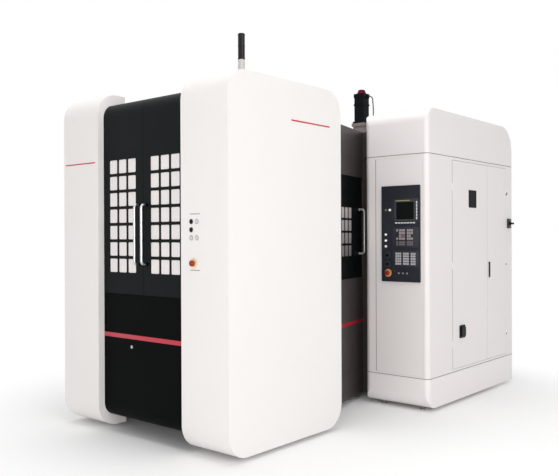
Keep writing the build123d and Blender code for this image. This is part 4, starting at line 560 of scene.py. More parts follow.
def make_front_trim():
    """The red stripe across the dark front, and the lock below it."""
    mesh = bmesh.new()
    depth = (DARK_FRONT - STRIPE_PROUD, DARK_FRONT + SUNK)
    add_box(mesh, around(0, FRONT_STRIPE_HALF), depth, FRONT_STRIPE_HEIGHTS, STRIPE_BEVEL)
    new_piece("front_red_stripe", mesh, "red_trim")
    mesh = bmesh.new()
    add_rod(mesh, (FRONT_LOCK_X, DARK_FRONT - 3, FRONT_LOCK_Z), BACKWARD, length=4, radius=9)
    centre = (FRONT_LOCK_X, DARK_FRONT, FRONT_LOCK_Z)
    add_ring(mesh, centre, FORWARD, inner=9, outer=13, thickness=2)
    new_piece("front_panel_lock", mesh, "zinc")


LEFT_LINE_X, LEFT_LINE_Z = (-934, -529), (2163, 2173)
RIGHT_LINE_Y, RIGHT_LINE_Z = (-1333, -853), (2431, 2443)
STATION_LABEL_X, STATION_LABEL_HALF = (588, 686), 3
STATION_LABEL_HEIGHTS = (1728, 1331)
STATION_LAMP_RADIUS = 14
STOP_HOLE, STOP_PLATE_THICKNESS = 11.6, 0.7
STATION_STOP_PLATE, PANEL_STOP_PLATE = 37.5, 36


def make_red_lines():
    """One thin red line on the front of the left cover and one on the side of the right cover."""
    mesh = bmesh.new()
    line_depth = (COVER_FRONT - LINE_PROUD, COVER_FRONT + SUNK)
    add_box(mesh, LEFT_LINE_X, line_depth, LEFT_LINE_Z, LINE_BEVEL)
    new_piece("left_cover_red_line", mesh, "red_trim")
    mesh = bmesh.new()
    side_depth = (COVER_SIDE - SUNK, COVER_SIDE + LINE_PROUD)
    add_box(mesh, side_depth, RIGHT_LINE_Y, RIGHT_LINE_Z, LINE_BEVEL)
    new_piece("right_cover_red_line", mesh, "red_trim")


def add_station_bezel(mesh, x, z):
    add_ring(mesh, (x, COVER_FRONT, z), FORWARD, inner=14.4, outer=18.5, thickness=2.4)


def make_station_trim():
    """Blank label strips, the stop button's plate, and the bezels of the buttons and the lamps."""
    mesh = bmesh.new()
    label_depth = (COVER_FRONT - LINE_PROUD, COVER_FRONT + SUNK)
    for z in STATION_LABEL_HEIGHTS:
        add_box(mesh, STATION_LABEL_X, label_depth, around(z, STATION_LABEL_HALF), LINE_BEVEL)
    new_piece("station_label_strips", mesh, "label")
    mesh = bmesh.new()
    stop = centre_of("station_stop_button")
    centre = (stop.x, COVER_FRONT, stop.z)
    add_ring(mesh, centre, FORWARD, STOP_HOLE, STATION_STOP_PLATE, STOP_PLATE_THICKNESS)
    new_piece("station_stop_plate", mesh, "pale_yellow")
    mesh = bmesh.new()
    for button in ("start_button", "reset_button"):
        place = centre_of(button)
        add_station_bezel(mesh, place.x, place.z)
    new_piece("station_button_bezels", mesh, "black_plastic")
    mesh = bmesh.new()
    low, high = corners("station_lamps")
    left, right = low.x + STATION_LAMP_RADIUS, high.x - STATION_LAMP_RADIUS
    bottom, top = low.z + STATION_LAMP_RADIUS, high.z - STATION_LAMP_RADIUS
    for x, z in ((right, top), (left, bottom), (right, bottom)):
        add_station_bezel(mesh, x, z)
    new_piece("station_lamp_bezels", mesh, "data_key")


# The slanted wall: its trim is made along Y at X = 0 and then turned and moved into place

WALL_START = (710.5, -699.5)
WALL_ANGLE = math.radians(14.08)
WALL_STRIPE_Y, WALL_STRIPE_Z = (4, 1160), (733, 765)
WALL_LAMP_Y, WALL_LAMP_Z = 1120, 2070


def make_wall_trim():
    """The red stripe and the small pilot lamp on the slanted wall."""
    turn = Matrix.Rotation(WALL_ANGLE, 4, "Z")
    place = Matrix.Translation(point(*WALL_START, 0)) @ turn
    mesh = bmesh.new()
    add_box(mesh, (-SUNK, STRIPE_PROUD), WALL_STRIPE_Y, WALL_STRIPE_Z, STRIPE_BEVEL)
    new_piece("side_red_stripe", mesh, "red_trim", place=place)
    mesh = bmesh.new()
    add_rod(mesh, (-SUNK, WALL_LAMP_Y, WALL_LAMP_Z), RIGHT, length=5, radius=8)
    new_piece("side_wall_pilot_lamp", mesh, "red_plastic", place=place)


# Operator panel

PANEL_FACE = corners("panel_keys")[1].y
KEY_PROUD, SOFT_KEY_PROUD = 4.6, 5
KEY_SUNK, KEY_BEVEL = 1, 1.2

# Blocks of soft keys under and beside the screen: x span, z span, columns, rows, a key's share of its cell
SOFT_BLOCKS = (
    ((940.5, 1150.5), (1676, 1692), 7, 1, 0.76),
    ((1157.5, 1171.5), (1712, 1878), 1, 6, 0.8),
)

LEFT_KEYS, MIDDLE_KEYS, RIGHT_KEYS = (954, 976), (983, 1046), (1064, 1127)
UPPER_KEYS, LOWER_KEYS = (1530, 1629), (1479, 1520)
PLAIN_DATA, LOW_DATA = "data_keys", "data_keys_low"
RED_DATA, DARK_DATA = "data_keys_red", "data_keys_dark"
DATA_FINISHES = {
    PLAIN_DATA: "data_key",
    LOW_DATA: "low_data_key",
    RED_DATA: "red_key",
    DARK_DATA: "dark_key",
}

# Blocks of data keys: as above, then the piece of the plain keys and the cells that other pieces take
DATA_BLOCKS = (
    (LEFT_KEYS, UPPER_KEYS, 1, 4, 0.8, PLAIN_DATA, {(0, 1): DARK_DATA, (0, 2): DARK_DATA}),
    (MIDDLE_KEYS, UPPER_KEYS, 3, 4, 0.82, PLAIN_DATA, {(1, 1): RED_DATA, (2, 1): RED_DATA}),
    (RIGHT_KEYS, UPPER_KEYS, 3, 4, 0.82, PLAIN_DATA, {(2, 1): DARK_DATA}),
    (LEFT_KEYS, LOWER_KEYS, 1, 2, 0.8, LOW_DATA, {}),
    (MIDDLE_KEYS, LOWER_KEYS, 3, 2, 0.8, LOW_DATA, {(0, 0): RED_DATA, (1, 1): RED_DATA}),
    (RIGHT_KEYS, LOWER_KEYS, 3, 2, 0.8, LOW_DATA, {}),
)
MACHINE_GROUPS = ((944, 1007), (1023, 1085), (1101, 1153))
MACHINE_HEIGHTS = (1304, 1418)
MACHINE_COLUMNS, MACHINE_ROWS, MACHINE_SHARE = 3, 5, 0.78
KEY_LAMP_RISE = 0.3
KEY_LAMP_HALF_X, KEY_LAMP_HALF_Z = 2.2, 1
KEY_LAMP_PROUD, KEY_LAMP_FOOT = 5.2, 4
WHITE_BUTTONS = ((889.5, 1803), (846.5, 1580), (846.5, 1525), (846.5, 1472))
GREEN_LAMP = (847, 1803)
SQUARE_BUTTONS_X, SQUARE_BUTTONS_Z = (847, 889.5), (1858, 1880)
SQUARE_HALF, SQUARE_PROUD, SQUARE_SUNK = 11, 7, 0.5
TOGGLES_X, TOGGLES_Z, TOGGLE_LEAN = (980, 1022, 1064), 1229, (0.1, -1, 0.35)
RED_LAMP = (934, 1249)
UNIT_PLATE_X = (918, 1182)
UNIT_PLATE_HEIGHTS = ((1696, 1902), (1464, 1644), (1290, 1432))
UNIT_PLATE_PROUD, UNIT_PLATE_SUNK = 0.9, 0.3
SCREEN_BAR_X, SCREEN_BAR_Z = (951, 1098), (1880.5, 1888)
SCREEN_BAR_PROUD, SCREEN_BAR_FOOT = 6.2, 4.6


def cells(x_span, z_span, columns, rows):
    """Each cell of a grid, with its middle and its pitches."""
    pitch_x = (x_span[1] - x_span[0]) / columns
    pitch_z = (z_span[1] - z_span[0]) / rows
    for column in range(columns):
        for row in range(rows):
            x = x_span[0] + (column + 0.5) * pitch_x
            z = z_span[0] + (row + 0.5) * pitch_z
            yield (column, row), x, z, pitch_x, pitch_z


def add_key(mesh, x, z, half_x, half_z, proud=KEY_PROUD):
    depth = (PANEL_FACE - proud, PANEL_FACE - KEY_SUNK)
    add_box(mesh, around(x, half_x), depth, around(z, half_z), KEY_BEVEL)


def panel_piece(name, mesh, material):
    """A piece that stands for some of the plain key blocks."""
    piece = new_piece(name, mesh, material)
    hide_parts("panel_keys")


def make_soft_keys():
    """The row of keys under the screen and the column beside it."""
    mesh = bmesh.new()
    for x_span, z_span, columns, rows, share in SOFT_BLOCKS:
        for _, x, z, pitch_x, pitch_z in cells(x_span, z_span, columns, rows):
            add_key(mesh, x, z, pitch_x * share / 2, pitch_z * share / 2, SOFT_KEY_PROUD)
    panel_piece("screen_soft_keys", mesh, "pale_key")


def make_data_keys():
    """One piece for each colour of data key."""
    for name, finish in DATA_FINISHES.items():
        mesh = bmesh.new()
        for x_span, z_span, columns, rows, share, plain, others in DATA_BLOCKS:
            for cell, x, z, pitch_x, pitch_z in cells(x_span, z_span, columns, rows):
                if others.get(cell, plain) == name:
                    add_key(mesh, x, z, pitch_x * share / 2, pitch_z * share / 2)
        panel_piece(name, mesh, finish)


def make_machine_keys():
    """Three groups of machine keys, each key with a small lamp near its top."""
    keys, lamps = bmesh.new(), bmesh.new()
    lamp_depth = (PANEL_FACE - KEY_LAMP_PROUD, PANEL_FACE - KEY_LAMP_FOOT)
    for x_span in MACHINE_GROUPS:
        for _, x, z, pitch_x, pitch_z in cells(x_span, MACHINE_HEIGHTS, MACHINE_COLUMNS, MACHINE_ROWS):
            add_key(keys, x, z, pitch_x * MACHINE_SHARE / 2, pitch_z * MACHINE_SHARE / 2)
            lamp_z = around(z + KEY_LAMP_RISE * pitch_z, KEY_LAMP_HALF_Z)
            add_box(lamps, around(x, KEY_LAMP_HALF_X), lamp_depth, lamp_z, bevel=0.3)
    panel_piece("machine_keys", keys, "machine_key")
    panel_piece("machine_key_lamps", lamps, "green_lamp")


def add_button(mesh, place, proud, face, foot, gap=1):
    """A round button that widens from its face to its foot, which ends a gap before the panel."""
    x, z = place
    add_rod(mesh, (x, PANEL_FACE - proud, z), BACKWARD, length=proud - gap, radius=face, top=foot)


def make_panel_buttons():
    """White buttons and a green lamp with their bezels, square buttons, toggles and a red lamp."""
    mesh = bmesh.new()
    for place in WHITE_BUTTONS:
        add_button(mesh, place, proud=9, face=10, foot=11)
    panel_piece("panel_white_buttons", mesh, "white_button")
    mesh = bmesh.new()
    add_button(mesh, GREEN_LAMP, proud=8, face=6.5, foot=7.5)
    panel_piece("panel_green_lamp", mesh, "green_lamp")
    mesh = bmesh.new()
    for x, z in (*WHITE_BUTTONS, GREEN_LAMP):
        add_ring(mesh, (x, PANEL_FACE, z), FORWARD, inner=11.3, outer=15, thickness=2.6)
    new_piece("panel_button_bezels", mesh, "dark_key")
    mesh = bmesh.new()
    square_depth = (PANEL_FACE - SQUARE_PROUD, PANEL_FACE + SQUARE_SUNK)
    for x in SQUARE_BUTTONS_X:
        add_box(mesh, around(x, SQUARE_HALF), square_depth, SQUARE_BUTTONS_Z, bevel=2)
    panel_piece("panel_square_buttons", mesh, "dark_key")
    mesh = bmesh.new()
    for x in TOGGLES_X:
        add_ring(mesh, (x, PANEL_FACE, TOGGLES_Z), FORWARD, inner=3, outer=8, thickness=3)
        add_rod(mesh, (x, PANEL_FACE, TOGGLES_Z), TOGGLE_LEAN, length=14, radius=2.6, top=3.6)
    panel_piece("panel_toggles", mesh, "zinc")
    mesh = bmesh.new()
    add_button(mesh, RED_LAMP, proud=6, face=4.5, foot=5, gap=0)
    panel_piece("panel_red_lamp", mesh, "red_plastic")


def make_panel_plates():
    """The plates under the stop button, the dials and the three key units, and the bar over the screen."""
    mesh = bmesh.new()
    stop = centre_of("panel_stop_button")
    centre = (stop.x, PANEL_FACE, stop.z)
    add_ring(mesh, centre, FORWARD, STOP_HOLE, PANEL_STOP_PLATE, STOP_PLATE_THICKNESS)
    new_piece("panel_stop_plate", mesh, "orange")
    mesh = bmesh.new()
    for dial in ("feed_dial", "spindle_dial"):
        place = centre_of(dial)
        add_ring(mesh, (place.x, PANEL_FACE, place.z), FORWARD, inner=17.8, outer=27, thickness=0.8)
    new_piece("dial_scale_plates", mesh, "dial_plate")
    mesh = bmesh.new()
    plate_depth = (PANEL_FACE - UNIT_PLATE_PROUD, PANEL_FACE + UNIT_PLATE_SUNK)
    for heights in UNIT_PLATE_HEIGHTS:
        add_box(mesh, UNIT_PLATE_X, plate_depth, heights, bevel=0.5)
    new_piece("panel_unit_plates", mesh, "panel_plate")
    mesh = bmesh.new()
    bar_depth = (PANEL_FACE - SCREEN_BAR_PROUD, PANEL_FACE - SCREEN_BAR_FOOT)
    add_box(mesh, SCREEN_BAR_X, bar_depth, SCREEN_BAR_Z, bevel=0.4)
    new_piece("screen_yellow_bar", mesh, "dim_yellow")


# Cabinet

cap_low, cap_high = corners("cabinet_cap")
CABINET_LEFT, CABINET_SIDE = cap_low.x, cap_high.x
CABINET_FRONT, CABINET_BACK = cap_low.y, cap_high.y
SEAM_HEIGHTS = (corners("cabinet_skirt")[1].z, cap_low.z)
LEFT_CORNER, RIGHT_CORNER = 62.0, 42.0
CORNER_STEPS = 12
SEAL_PROUD, SEAL_HALF = 0.4, 1.7
FRONT_SEAL_GAP, FRONT_SEAL_WIDTH = 0.2, 3.8
DOOR_SEAL_Y, DOOR_SEAL_Z = (641.8, 644.8), (326, 2271)
SIDE_LOCK_Y, SIDE_LOCK_Z = 1888, 2010
SEAL_BACK_GAP = 2
EDGE_STOP = ((585, 611), (220, 244), (2287, 2310))


def cabinet_line(offset):
    """The cabinet's plan from its left side round both front corners to its back, moved out."""
    line = [(CABINET_LEFT - offset, CABINET_FRONT + 2 * LEFT_CORNER)]
    corner_arcs = (
        (CABINET_LEFT + LEFT_CORNER, CABINET_FRONT + LEFT_CORNER, LEFT_CORNER, 180),
        (CABINET_SIDE - RIGHT_CORNER, CABINET_FRONT + RIGHT_CORNER, RIGHT_CORNER, 270),
    )
    for x, y, radius, start in corner_arcs:
        reach = radius + offset
        for step in range(CORNER_STEPS + 1):
            angle = math.radians(start + 90 * step / CORNER_STEPS)
            line.append((x + reach * math.cos(angle), y + reach * math.sin(angle)))
    line.append((CABINET_SIDE + offset, CABINET_BACK - SEAL_BACK_GAP))
    return line


def add_seal(mesh, height):
    """A strip that follows the cabinet's plan at a height."""
    inner, outer = cabinet_line(-SUNK), cabinet_line(SEAL_PROUD)
    low, high = around(height, SEAL_HALF)
    rows = []
    for line, z in ((inner, low), (outer, low), (outer, high), (inner, high)):
        rows.append([mesh.verts.new(point(x, y, z)) for x, y in line])
    for first, second in zip(rows, rows[1:] + rows[:1]):
        for step in range(len(first) - 1):
            mesh.faces.new((first[step], first[step + 1], second[step + 1], second[step]))
    for end in (0, -1):
        mesh.faces.new([row[end] for row in rows])


def make_cabinet_trim():
    """Seals in the joints, the round lock on the rear strip and the small stop at the front edge."""
    mesh = bmesh.new()
    for height in SEAM_HEIGHTS:
        add_seal(mesh, height)
    new_piece("cabinet_joint_seals", mesh, "seal")
    mesh = bmesh.new()
    panel_low, panel_high = corners("cabinet_front_panel")
    seal_end = panel_low.x - FRONT_SEAL_GAP
    front_depth = (CABINET_FRONT - SEAL_PROUD, CABINET_FRONT + SUNK)
    add_box(mesh, (seal_end - FRONT_SEAL_WIDTH, seal_end), front_depth, (panel_low.z, panel_high.z))
    add_box(mesh, (CABINET_SIDE - SUNK, CABINET_SIDE + SEAL_PROUD), DOOR_SEAL_Y, DOOR_SEAL_Z)
    new_piece("cabinet_edge_seals", mesh, "seal")
    mesh = bmesh.new()
    centre = (CABINET_SIDE, SIDE_LOCK_Y, SIDE_LOCK_Z)
    add_ring(mesh, centre, RIGHT, inner=6, outer=15, thickness=2.5)
    add_rod(mesh, (CABINET_SIDE - SUNK, SIDE_LOCK_Y, SIDE_LOCK_Z), RIGHT, length=2.4, radius=7)
    new_piece("cabinet_side_lock", mesh, "dark_steel")
    mesh = bmesh.new()
    add_box(mesh, *EDGE_STOP, bevel=2)
    new_piece("cabinet_edge_stop", mesh, "black_plastic")


# Equipment behind the cabinet's doors: it stands in X on the mounting plate, on the rails or on itself

PLATE_BACK, PLATE_FACE = 640, 643
PLATE_Y, PLATE_Z = (330, 1950), (380, 2230)
RAIL_FACE, RAIL_Y, RAIL_HALF = 651, (430, 1850), 17
UPPER_RAIL, MIDDLE_RAIL, LOWER_RAIL = 1560, 1220, 880
DUCT_TOP, DUCT_HALF, DUCT_LIP, DUCT_LID = 705, 25, 2, 4
DUCT_LEVELS = (2160, 1730, 1390, 1050, 710)
LEVEL_DUCT_Y = (420, 1860)
UPRIGHT_DUCTS, UPRIGHT_DUCT_Z = (385, 1895), (420, 2190)
COMB_BACK, COMB_PROUD = 650, 2.5
DRIVE_STARTS, DRIVE_WIDTH = (450, 640, 810, 980), 150
DRIVE_Z, DRIVE_FACE = (1775, 2115), 815
DRIVE_FRONT_Z, DRIVE_FRONT_PROUD = (1795, 1880), 6
CONTACTOR_STARTS, CONTACTOR_WIDTH = (450, 620, 790, 960, 1130, 1300), 96
CONTACTOR_HALF, CONTACTOR_FACE = 60, 735
BREAKER_ROWS = ((1450, 18, UPPER_RAIL), (450, 26, MIDDLE_RAIL))
BREAKER_PITCH, BREAKER_FACE = 20, 712
MODULE_START, MODULE_PITCH, MODULE_COUNT, MODULE_FACE = 1010, 80, 10, 770
TERMINAL_START, TERMINAL_PITCH, TERMINAL_COUNT = 450, 12.5, 110
TERMINAL_WIDTH, TERMINAL_FACE = 11, 700
TRANSFORMER_STARTS, TRANSFORMER_WIDTH = (470, 760), 220
TRANSFORMER_Z, TRANSFORMER_FACE = (430, 640), 790
COIL_LEVELS, COIL_X, COIL_PROUD = (470, 535, 600), 717, 6
SUPPLY_STARTS, SUPPLY_WIDTH, SUPPLY_FACE = (1080, 1340, 1600), 190, 800
SUPPLY_LEVEL, SUPPLY_HALF = 540, 110
GRILLE_RADII, GRILLE_WIDTH = (24, 38, 52), 3


def add_row(mesh, count, start, pitch, width, depth, heights, bevel=0.0):
    """Equal boxes side by side along Y."""
    for step in range(count):
        add_box(mesh, depth, onward(start + step * pitch, width), heights, bevel)


def add_duct(mesh, y_span, z_span):
    """A wiring duct and its lid, which laps over its edges."""
    add_box(mesh, (PLATE_FACE, DUCT_TOP), y_span, z_span, bevel=2)
    lid = (DUCT_TOP - SUNK, DUCT_TOP + DUCT_LID)
    add_box(mesh, lid, widened(y_span, DUCT_LIP), widened(z_span, DUCT_LIP), bevel=1.5)


def make_plate_and_ducts():
    """The mounting plate, level ducts with combed sides, and upright ducts."""
    mesh = bmesh.new()
    add_box(mesh, (PLATE_BACK, PLATE_FACE), PLATE_Y, PLATE_Z, bevel=0.6)
    new_piece("equipment_plate", mesh, "zinc")
    mesh = bmesh.new()
    for z in DUCT_LEVELS:
        add_duct(mesh, LEVEL_DUCT_Y, around(z, DUCT_HALF))
        add_row(
            mesh, count=72, start=432, pitch=20, width=9,
            depth=(COMB_BACK, DUCT_TOP - SUNK), heights=around(z, DUCT_HALF + COMB_PROUD),
        )
    for y in UPRIGHT_DUCTS:
        add_duct(mesh, around(y, DUCT_HALF), UPRIGHT_DUCT_Z)
    new_piece("equipment_ducts", mesh, "pale_key")


def make_drives():
    """Servo drives with cooling ribs, and their dark lower fronts with connectors."""
    mesh = bmesh.new()
    for start in DRIVE_STARTS:
        add_box(mesh, (PLATE_FACE, DRIVE_FACE), onward(start, DRIVE_WIDTH), DRIVE_Z, bevel=4)
        add_row(
            mesh, count=11, start=start + 12, pitch=12, width=4,
            depth=onward(DRIVE_FACE, 9), heights=(1900, 2095), bevel=0.8,
        )
    new_piece("servo_drives", mesh, "pale_key")
    mesh = bmesh.new()
    front = onward(DRIVE_FACE, DRIVE_FRONT_PROUD)
    for start in DRIVE_STARTS:
        add_box(mesh, front, onward(start + 18, 114), DRIVE_FRONT_Z, bevel=2)
        add_row(
            mesh, count=4, start=start + 26, pitch=26, width=18,
            depth=onward(front[1], 8), heights=(1802, 1822), bevel=1.5,
        )
    new_piece("servo_drive_fronts", mesh, "dark_key")


def make_contactors():
    """Mounting rails, and a row of contactors with screws along both edges."""
    mesh = bmesh.new()
    for z in (UPPER_RAIL, MIDDLE_RAIL, LOWER_RAIL):
        add_box(mesh, (PLATE_FACE, RAIL_FACE), RAIL_Y, around(z, RAIL_HALF), bevel=1)
    new_piece("equipment_rails", mesh, "zinc")
    mesh = bmesh.new()
    body, raised = (RAIL_FACE, CONTACTOR_FACE), onward(CONTACTOR_FACE, 23)
    body_z, raised_z = around(UPPER_RAIL, CONTACTOR_HALF), around(UPPER_RAIL, 30)
    edge, inset, first_screw, screw_pitch = 9, 8, 20, 28
    for start in CONTACTOR_STARTS:
        y_span = onward(start, CONTACTOR_WIDTH)
        add_box(mesh, body, y_span, body_z, bevel=3)
        add_box(mesh, raised, widened(y_span, -inset), raised_z, bevel=3)
        for step in range(3):
            y = start + first_screw + step * screw_pitch
            for z in widened(body_z, -edge):
                add_rod(mesh, (CONTACTOR_FACE, y, z), RIGHT, length=2, radius=6)
    new_piece("contactors", mesh, "black_plastic")


def make_breakers():
    """Two rows of circuit breakers with a lever each."""
    bodies, levers = bmesh.new(), bmesh.new()
    for start, count, z in BREAKER_ROWS:
        add_row(
            bodies, count, start, BREAKER_PITCH, width=18.5,
            depth=(RAIL_FACE, BREAKER_FACE), heights=around(z, 45), bevel=1.5,
        )
        add_row(
            levers, count, start + 5, BREAKER_PITCH, width=9,
            depth=onward(BREAKER_FACE, 12), heights=around(z, 12), bevel=1.5,
        )
    new_piece("circuit_breakers", bodies, "pale_key")
    new_piece("breaker_levers", levers, "dark_key")


def make_modules():
    """Control modules with a raised connector strip."""
    mesh = bmesh.new()
    add_row(
        mesh, MODULE_COUNT, MODULE_START, MODULE_PITCH, width=62,
        depth=(RAIL_FACE, MODULE_FACE), heights=around(MIDDLE_RAIL, 55), bevel=3,
    )
    add_row(
        mesh, MODULE_COUNT, MODULE_START + 8, MODULE_PITCH, width=46,
        depth=onward(MODULE_FACE, 4), heights=(1180, 1225), bevel=1,
    )
    new_piece("control_modules", mesh, "grey_plastic")


def make_terminals():
    """A long row of terminals with two screws each."""
    blocks, screws = bmesh.new(), bmesh.new()
    add_row(
        blocks, TERMINAL_COUNT, TERMINAL_START, TERMINAL_PITCH, TERMINAL_WIDTH,
        depth=(RAIL_FACE, TERMINAL_FACE), heights=around(LOWER_RAIL, 38), bevel=1,
    )
    screw_foot = TERMINAL_FACE - 0.5
    for step in range(TERMINAL_COUNT):
        y = TERMINAL_START + step * TERMINAL_PITCH + TERMINAL_WIDTH / 2
        for z in around(LOWER_RAIL, 24):
            add_rod(screws, (screw_foot, y, z), RIGHT, length=1.2, radius=3.2, segments=12)
    new_piece("terminal_rows", blocks, "grey_key")
    new_piece("terminal_screws", screws, "zinc")


def make_supplies():
    """Transformers with three coils, and power supplies with round fan grilles."""
    mesh = bmesh.new()
    for start in TRANSFORMER_STARTS:
        y_span = onward(start, TRANSFORMER_WIDTH)
        add_box(mesh, (PLATE_FACE, TRANSFORMER_FACE), y_span, TRANSFORMER_Z, bevel=4)
        for z in COIL_LEVELS:
            coil_start = (COIL_X, start - COIL_PROUD, z)
            add_rod(mesh, coil_start, BACKWARD, length=TRANSFORMER_WIDTH + 2 * COIL_PROUD, radius=46)
    new_piece("transformers", mesh, "dark_steel")
    mesh = bmesh.new()
    for start in SUPPLY_STARTS:
        y_span, z_span = onward(start, SUPPLY_WIDTH), around(SUPPLY_LEVEL, SUPPLY_HALF)
        add_box(mesh, (PLATE_FACE, SUPPLY_FACE), y_span, z_span, bevel=4)
        fan = (SUPPLY_FACE, start + SUPPLY_WIDTH / 2, SUPPLY_LEVEL)
        add_ring(mesh, fan, RIGHT, inner=10, outer=70, thickness=4)
        for radius in GRILLE_RADII:
            add_ring(mesh, fan, RIGHT, inner=radius, outer=radius + GRILLE_WIDTH, thickness=5)
    new_piece("power_supplies", mesh, "grey_plastic")


# Enclosure and machine

PANEL_INNER_LEFT, PANEL_INNER_BACK = -929, 1559
PANEL_THICK, SCREW_SUNK = 4, 1
STRIP_HALF, STRIP_THICK = 22, 3.4
STRIP_Z = (95, 2545)
SIDE_STRIPS, BACK_STRIPS = (-1180, -600, -20, 560, 1140), (-440, -60, 320)
STRIP_SCREWS = range(150, 2500, 285)
SERVICE_X, SERVICE_Z = (-860, -500), (320, 1180)
SERVICE_SCREWS_X, SERVICE_SCREWS_Z = (-842, -518), (340, 750, 1160)
SERVICE_SCREW_PROUD = 0.6
LOUVRE_START, LOUVRE_PITCH, LOUVRE_COUNT = 420, 24, 14
LOUVRE_TILT = math.radians(28)
LOUVRE_SIZE, LOUVRE_PROUD, LOUVRE_BEVEL = (260, 18, 2.2), 4, 0.6


def add_screw(mesh, x, y, z, direction):
    add_rod(mesh, (x, y, z), direction, length=2.4, radius=5.5, top=4, segments=16)


def make_enclosure_trim():
    """Strips in the left and back panels, screws whose heads show, and a louvred service panel."""
    mesh = bmesh.new()
    side_depth = (PANEL_INNER_LEFT - STRIP_THICK, PANEL_INNER_LEFT)
    for y in SIDE_STRIPS:
        add_box(mesh, side_depth, around(y, STRIP_HALF), STRIP_Z, bevel=1)
    for x in BACK_STRIPS:
        add_box(mesh, around(x, STRIP_HALF), onward(PANEL_INNER_BACK, STRIP_THICK), STRIP_Z, bevel=1)
    add_box(mesh, SERVICE_X, onward(PANEL_INNER_BACK, PANEL_THICK), SERVICE_Z, bevel=2)
    new_piece("enclosure_strips", mesh, "enclosure")
    mesh = bmesh.new()
    screw_left = PANEL_INNER_LEFT - PANEL_THICK + SCREW_SUNK
    screw_back = PANEL_INNER_BACK + PANEL_THICK - SCREW_SUNK
    for z in STRIP_SCREWS:
        for y in SIDE_STRIPS:
            add_screw(mesh, screw_left, y, z, LEFT)
        for x in BACK_STRIPS:
            add_screw(mesh, x, screw_back, z, BACKWARD)
    for x in SERVICE_SCREWS_X:
        for z in SERVICE_SCREWS_Z:
            add_screw(mesh, x, screw_back + SERVICE_SCREW_PROUD, z, BACKWARD)
    new_piece("enclosure_screws", mesh, "zinc")
    mesh = bmesh.new()
    turn = Matrix.Rotation(LOUVRE_TILT, 4, "X")
    stretch = Matrix.Diagonal((*point(*LOUVRE_SIZE), 1))
    middle_y = PANEL_INNER_BACK + PANEL_THICK + LOUVRE_PROUD
    for step in range(LOUVRE_COUNT):
        middle = point(sum(SERVICE_X) / 2, middle_y, LOUVRE_START + step * LOUVRE_PITCH)
        blade = bmesh.ops.create_cube(mesh, size=1, matrix=Matrix.Translation(middle) @ turn @ stretch)
        bmesh.ops.bevel(
            mesh, geom=edges_of(blade), offset=LOUVRE_BEVEL * MM, segments=1, affect="EDGES"
        )
    new_piece("service_panel_louvres", mesh, "enclosure")


SPINDLE_HEIGHT = 1400
NOSE_FACE, NOZZLE_FACE = 415, 438
SCREW_CIRCLE, NOZZLE_CIRCLE = 86, 132
NOSE_SCREW_HEIGHT = 5
NOSE_SCREWS, NOZZLES = 8, 4
NOZZLE_AIM = 0.25


def circle_places(count, radius):
    """Evenly spaced angles and places round the spindle, the first half a step up from +X."""
    for step in range(count):
        angle = math.radians((step + 0.5) * 360 / count)
        yield angle, radius * math.cos(angle), SPINDLE_HEIGHT + radius * math.sin(angle)


def make_head_details():
    """Cap screws round the spindle nose, and coolant nozzles on balls that point at the tool."""
    mesh = bmesh.new()
    screw_front = NOSE_FACE - NOSE_SCREW_HEIGHT
    for _, x, z in circle_places(NOSE_SCREWS, SCREW_CIRCLE):
        add_rod(mesh, (x, NOSE_FACE, z), FORWARD, NOSE_SCREW_HEIGHT, radius=7, segments=20)
        add_ring(mesh, (x, screw_front, z), FORWARD, inner=3.2, outer=7, thickness=0.8, segments=20)
    new_piece("nose_screws", mesh, "dark_steel", "head")
    mesh = bmesh.new()
    for angle, x, z in circle_places(NOZZLES, NOZZLE_CIRCLE):
        ball = Matrix.Translation(point(x, NOZZLE_FACE, z))
        bmesh.ops.create_uvsphere(mesh, u_segments=20, v_segments=12, radius=11 * MM, matrix=ball)
        aim = (-NOZZLE_AIM * math.cos(angle), -1, -NOZZLE_AIM * math.sin(angle))
        add_rod(mesh, (x, NOZZLE_FACE, z), aim, length=34, radius=5.5, top=3.5, segments=20)
    new_piece("coolant_nozzles", mesh, "zinc", "head")


# Camera: the view fitted to the photograph

CAMERA_PLACE = (4.4032, -5.5706, 1.5712)
CAMERA_YAW = math.radians(40.1068)
CAMERA_PITCH = math.radians(-0.1663)
CAMERA_ROLL = math.radians(-0.2193)
FOCAL_PIXELS = 730.19
PHOTO_WIDTH = 558
SENSOR = 36.0


def make_camera():
    data = bpy.data.cameras.new("camera")
    data.sensor_width = SENSOR
    data.sensor_fit = "HORIZONTAL"
    data.lens = FOCAL_PIXELS / PHOTO_WIDTH * SENSOR
    data.clip_end = 100
    camera = bpy.data.objects.new("camera", data)
    forward = Vector((
        -math.sin(CAMERA_YAW) * math.cos(CAMERA_PITCH),
        math.cos(CAMERA_YAW) * math.cos(CAMERA_PITCH),
        math.sin(CAMERA_PITCH),
    ))
    flat_right = Vector((math.cos(CAMERA_YAW), math.sin(CAMERA_YAW), 0))
    flat_up = flat_right.cross(forward)
    right = flat_right * math.cos(CAMERA_ROLL) + flat_up * math.sin(CAMERA_ROLL)
    up = flat_up * math.cos(CAMERA_ROLL) - flat_right * math.sin(CAMERA_ROLL)
    turn = Matrix((right, up, -forward)).transposed().to_4x4()
    camera.matrix_world = Matrix.Translation(Vector(CAMERA_PLACE)) @ turn
    scene.collection.objects.link(camera)
    scene.camera = camera


# Floor and light, in metres

FLOOR_MIDDLE = (0.2, -0.2, 0.0)
FLOOR_HALF = 40
FLOOR_WHITE = (0.97, 0.97, 0.97, 1)
FLOOR_ROUGHNESS = 0.9
FADE_START, FADE_END = 1.7, 3.5
WORLD_LIGHT, SEEN_WHITE = 0.5, 1.0


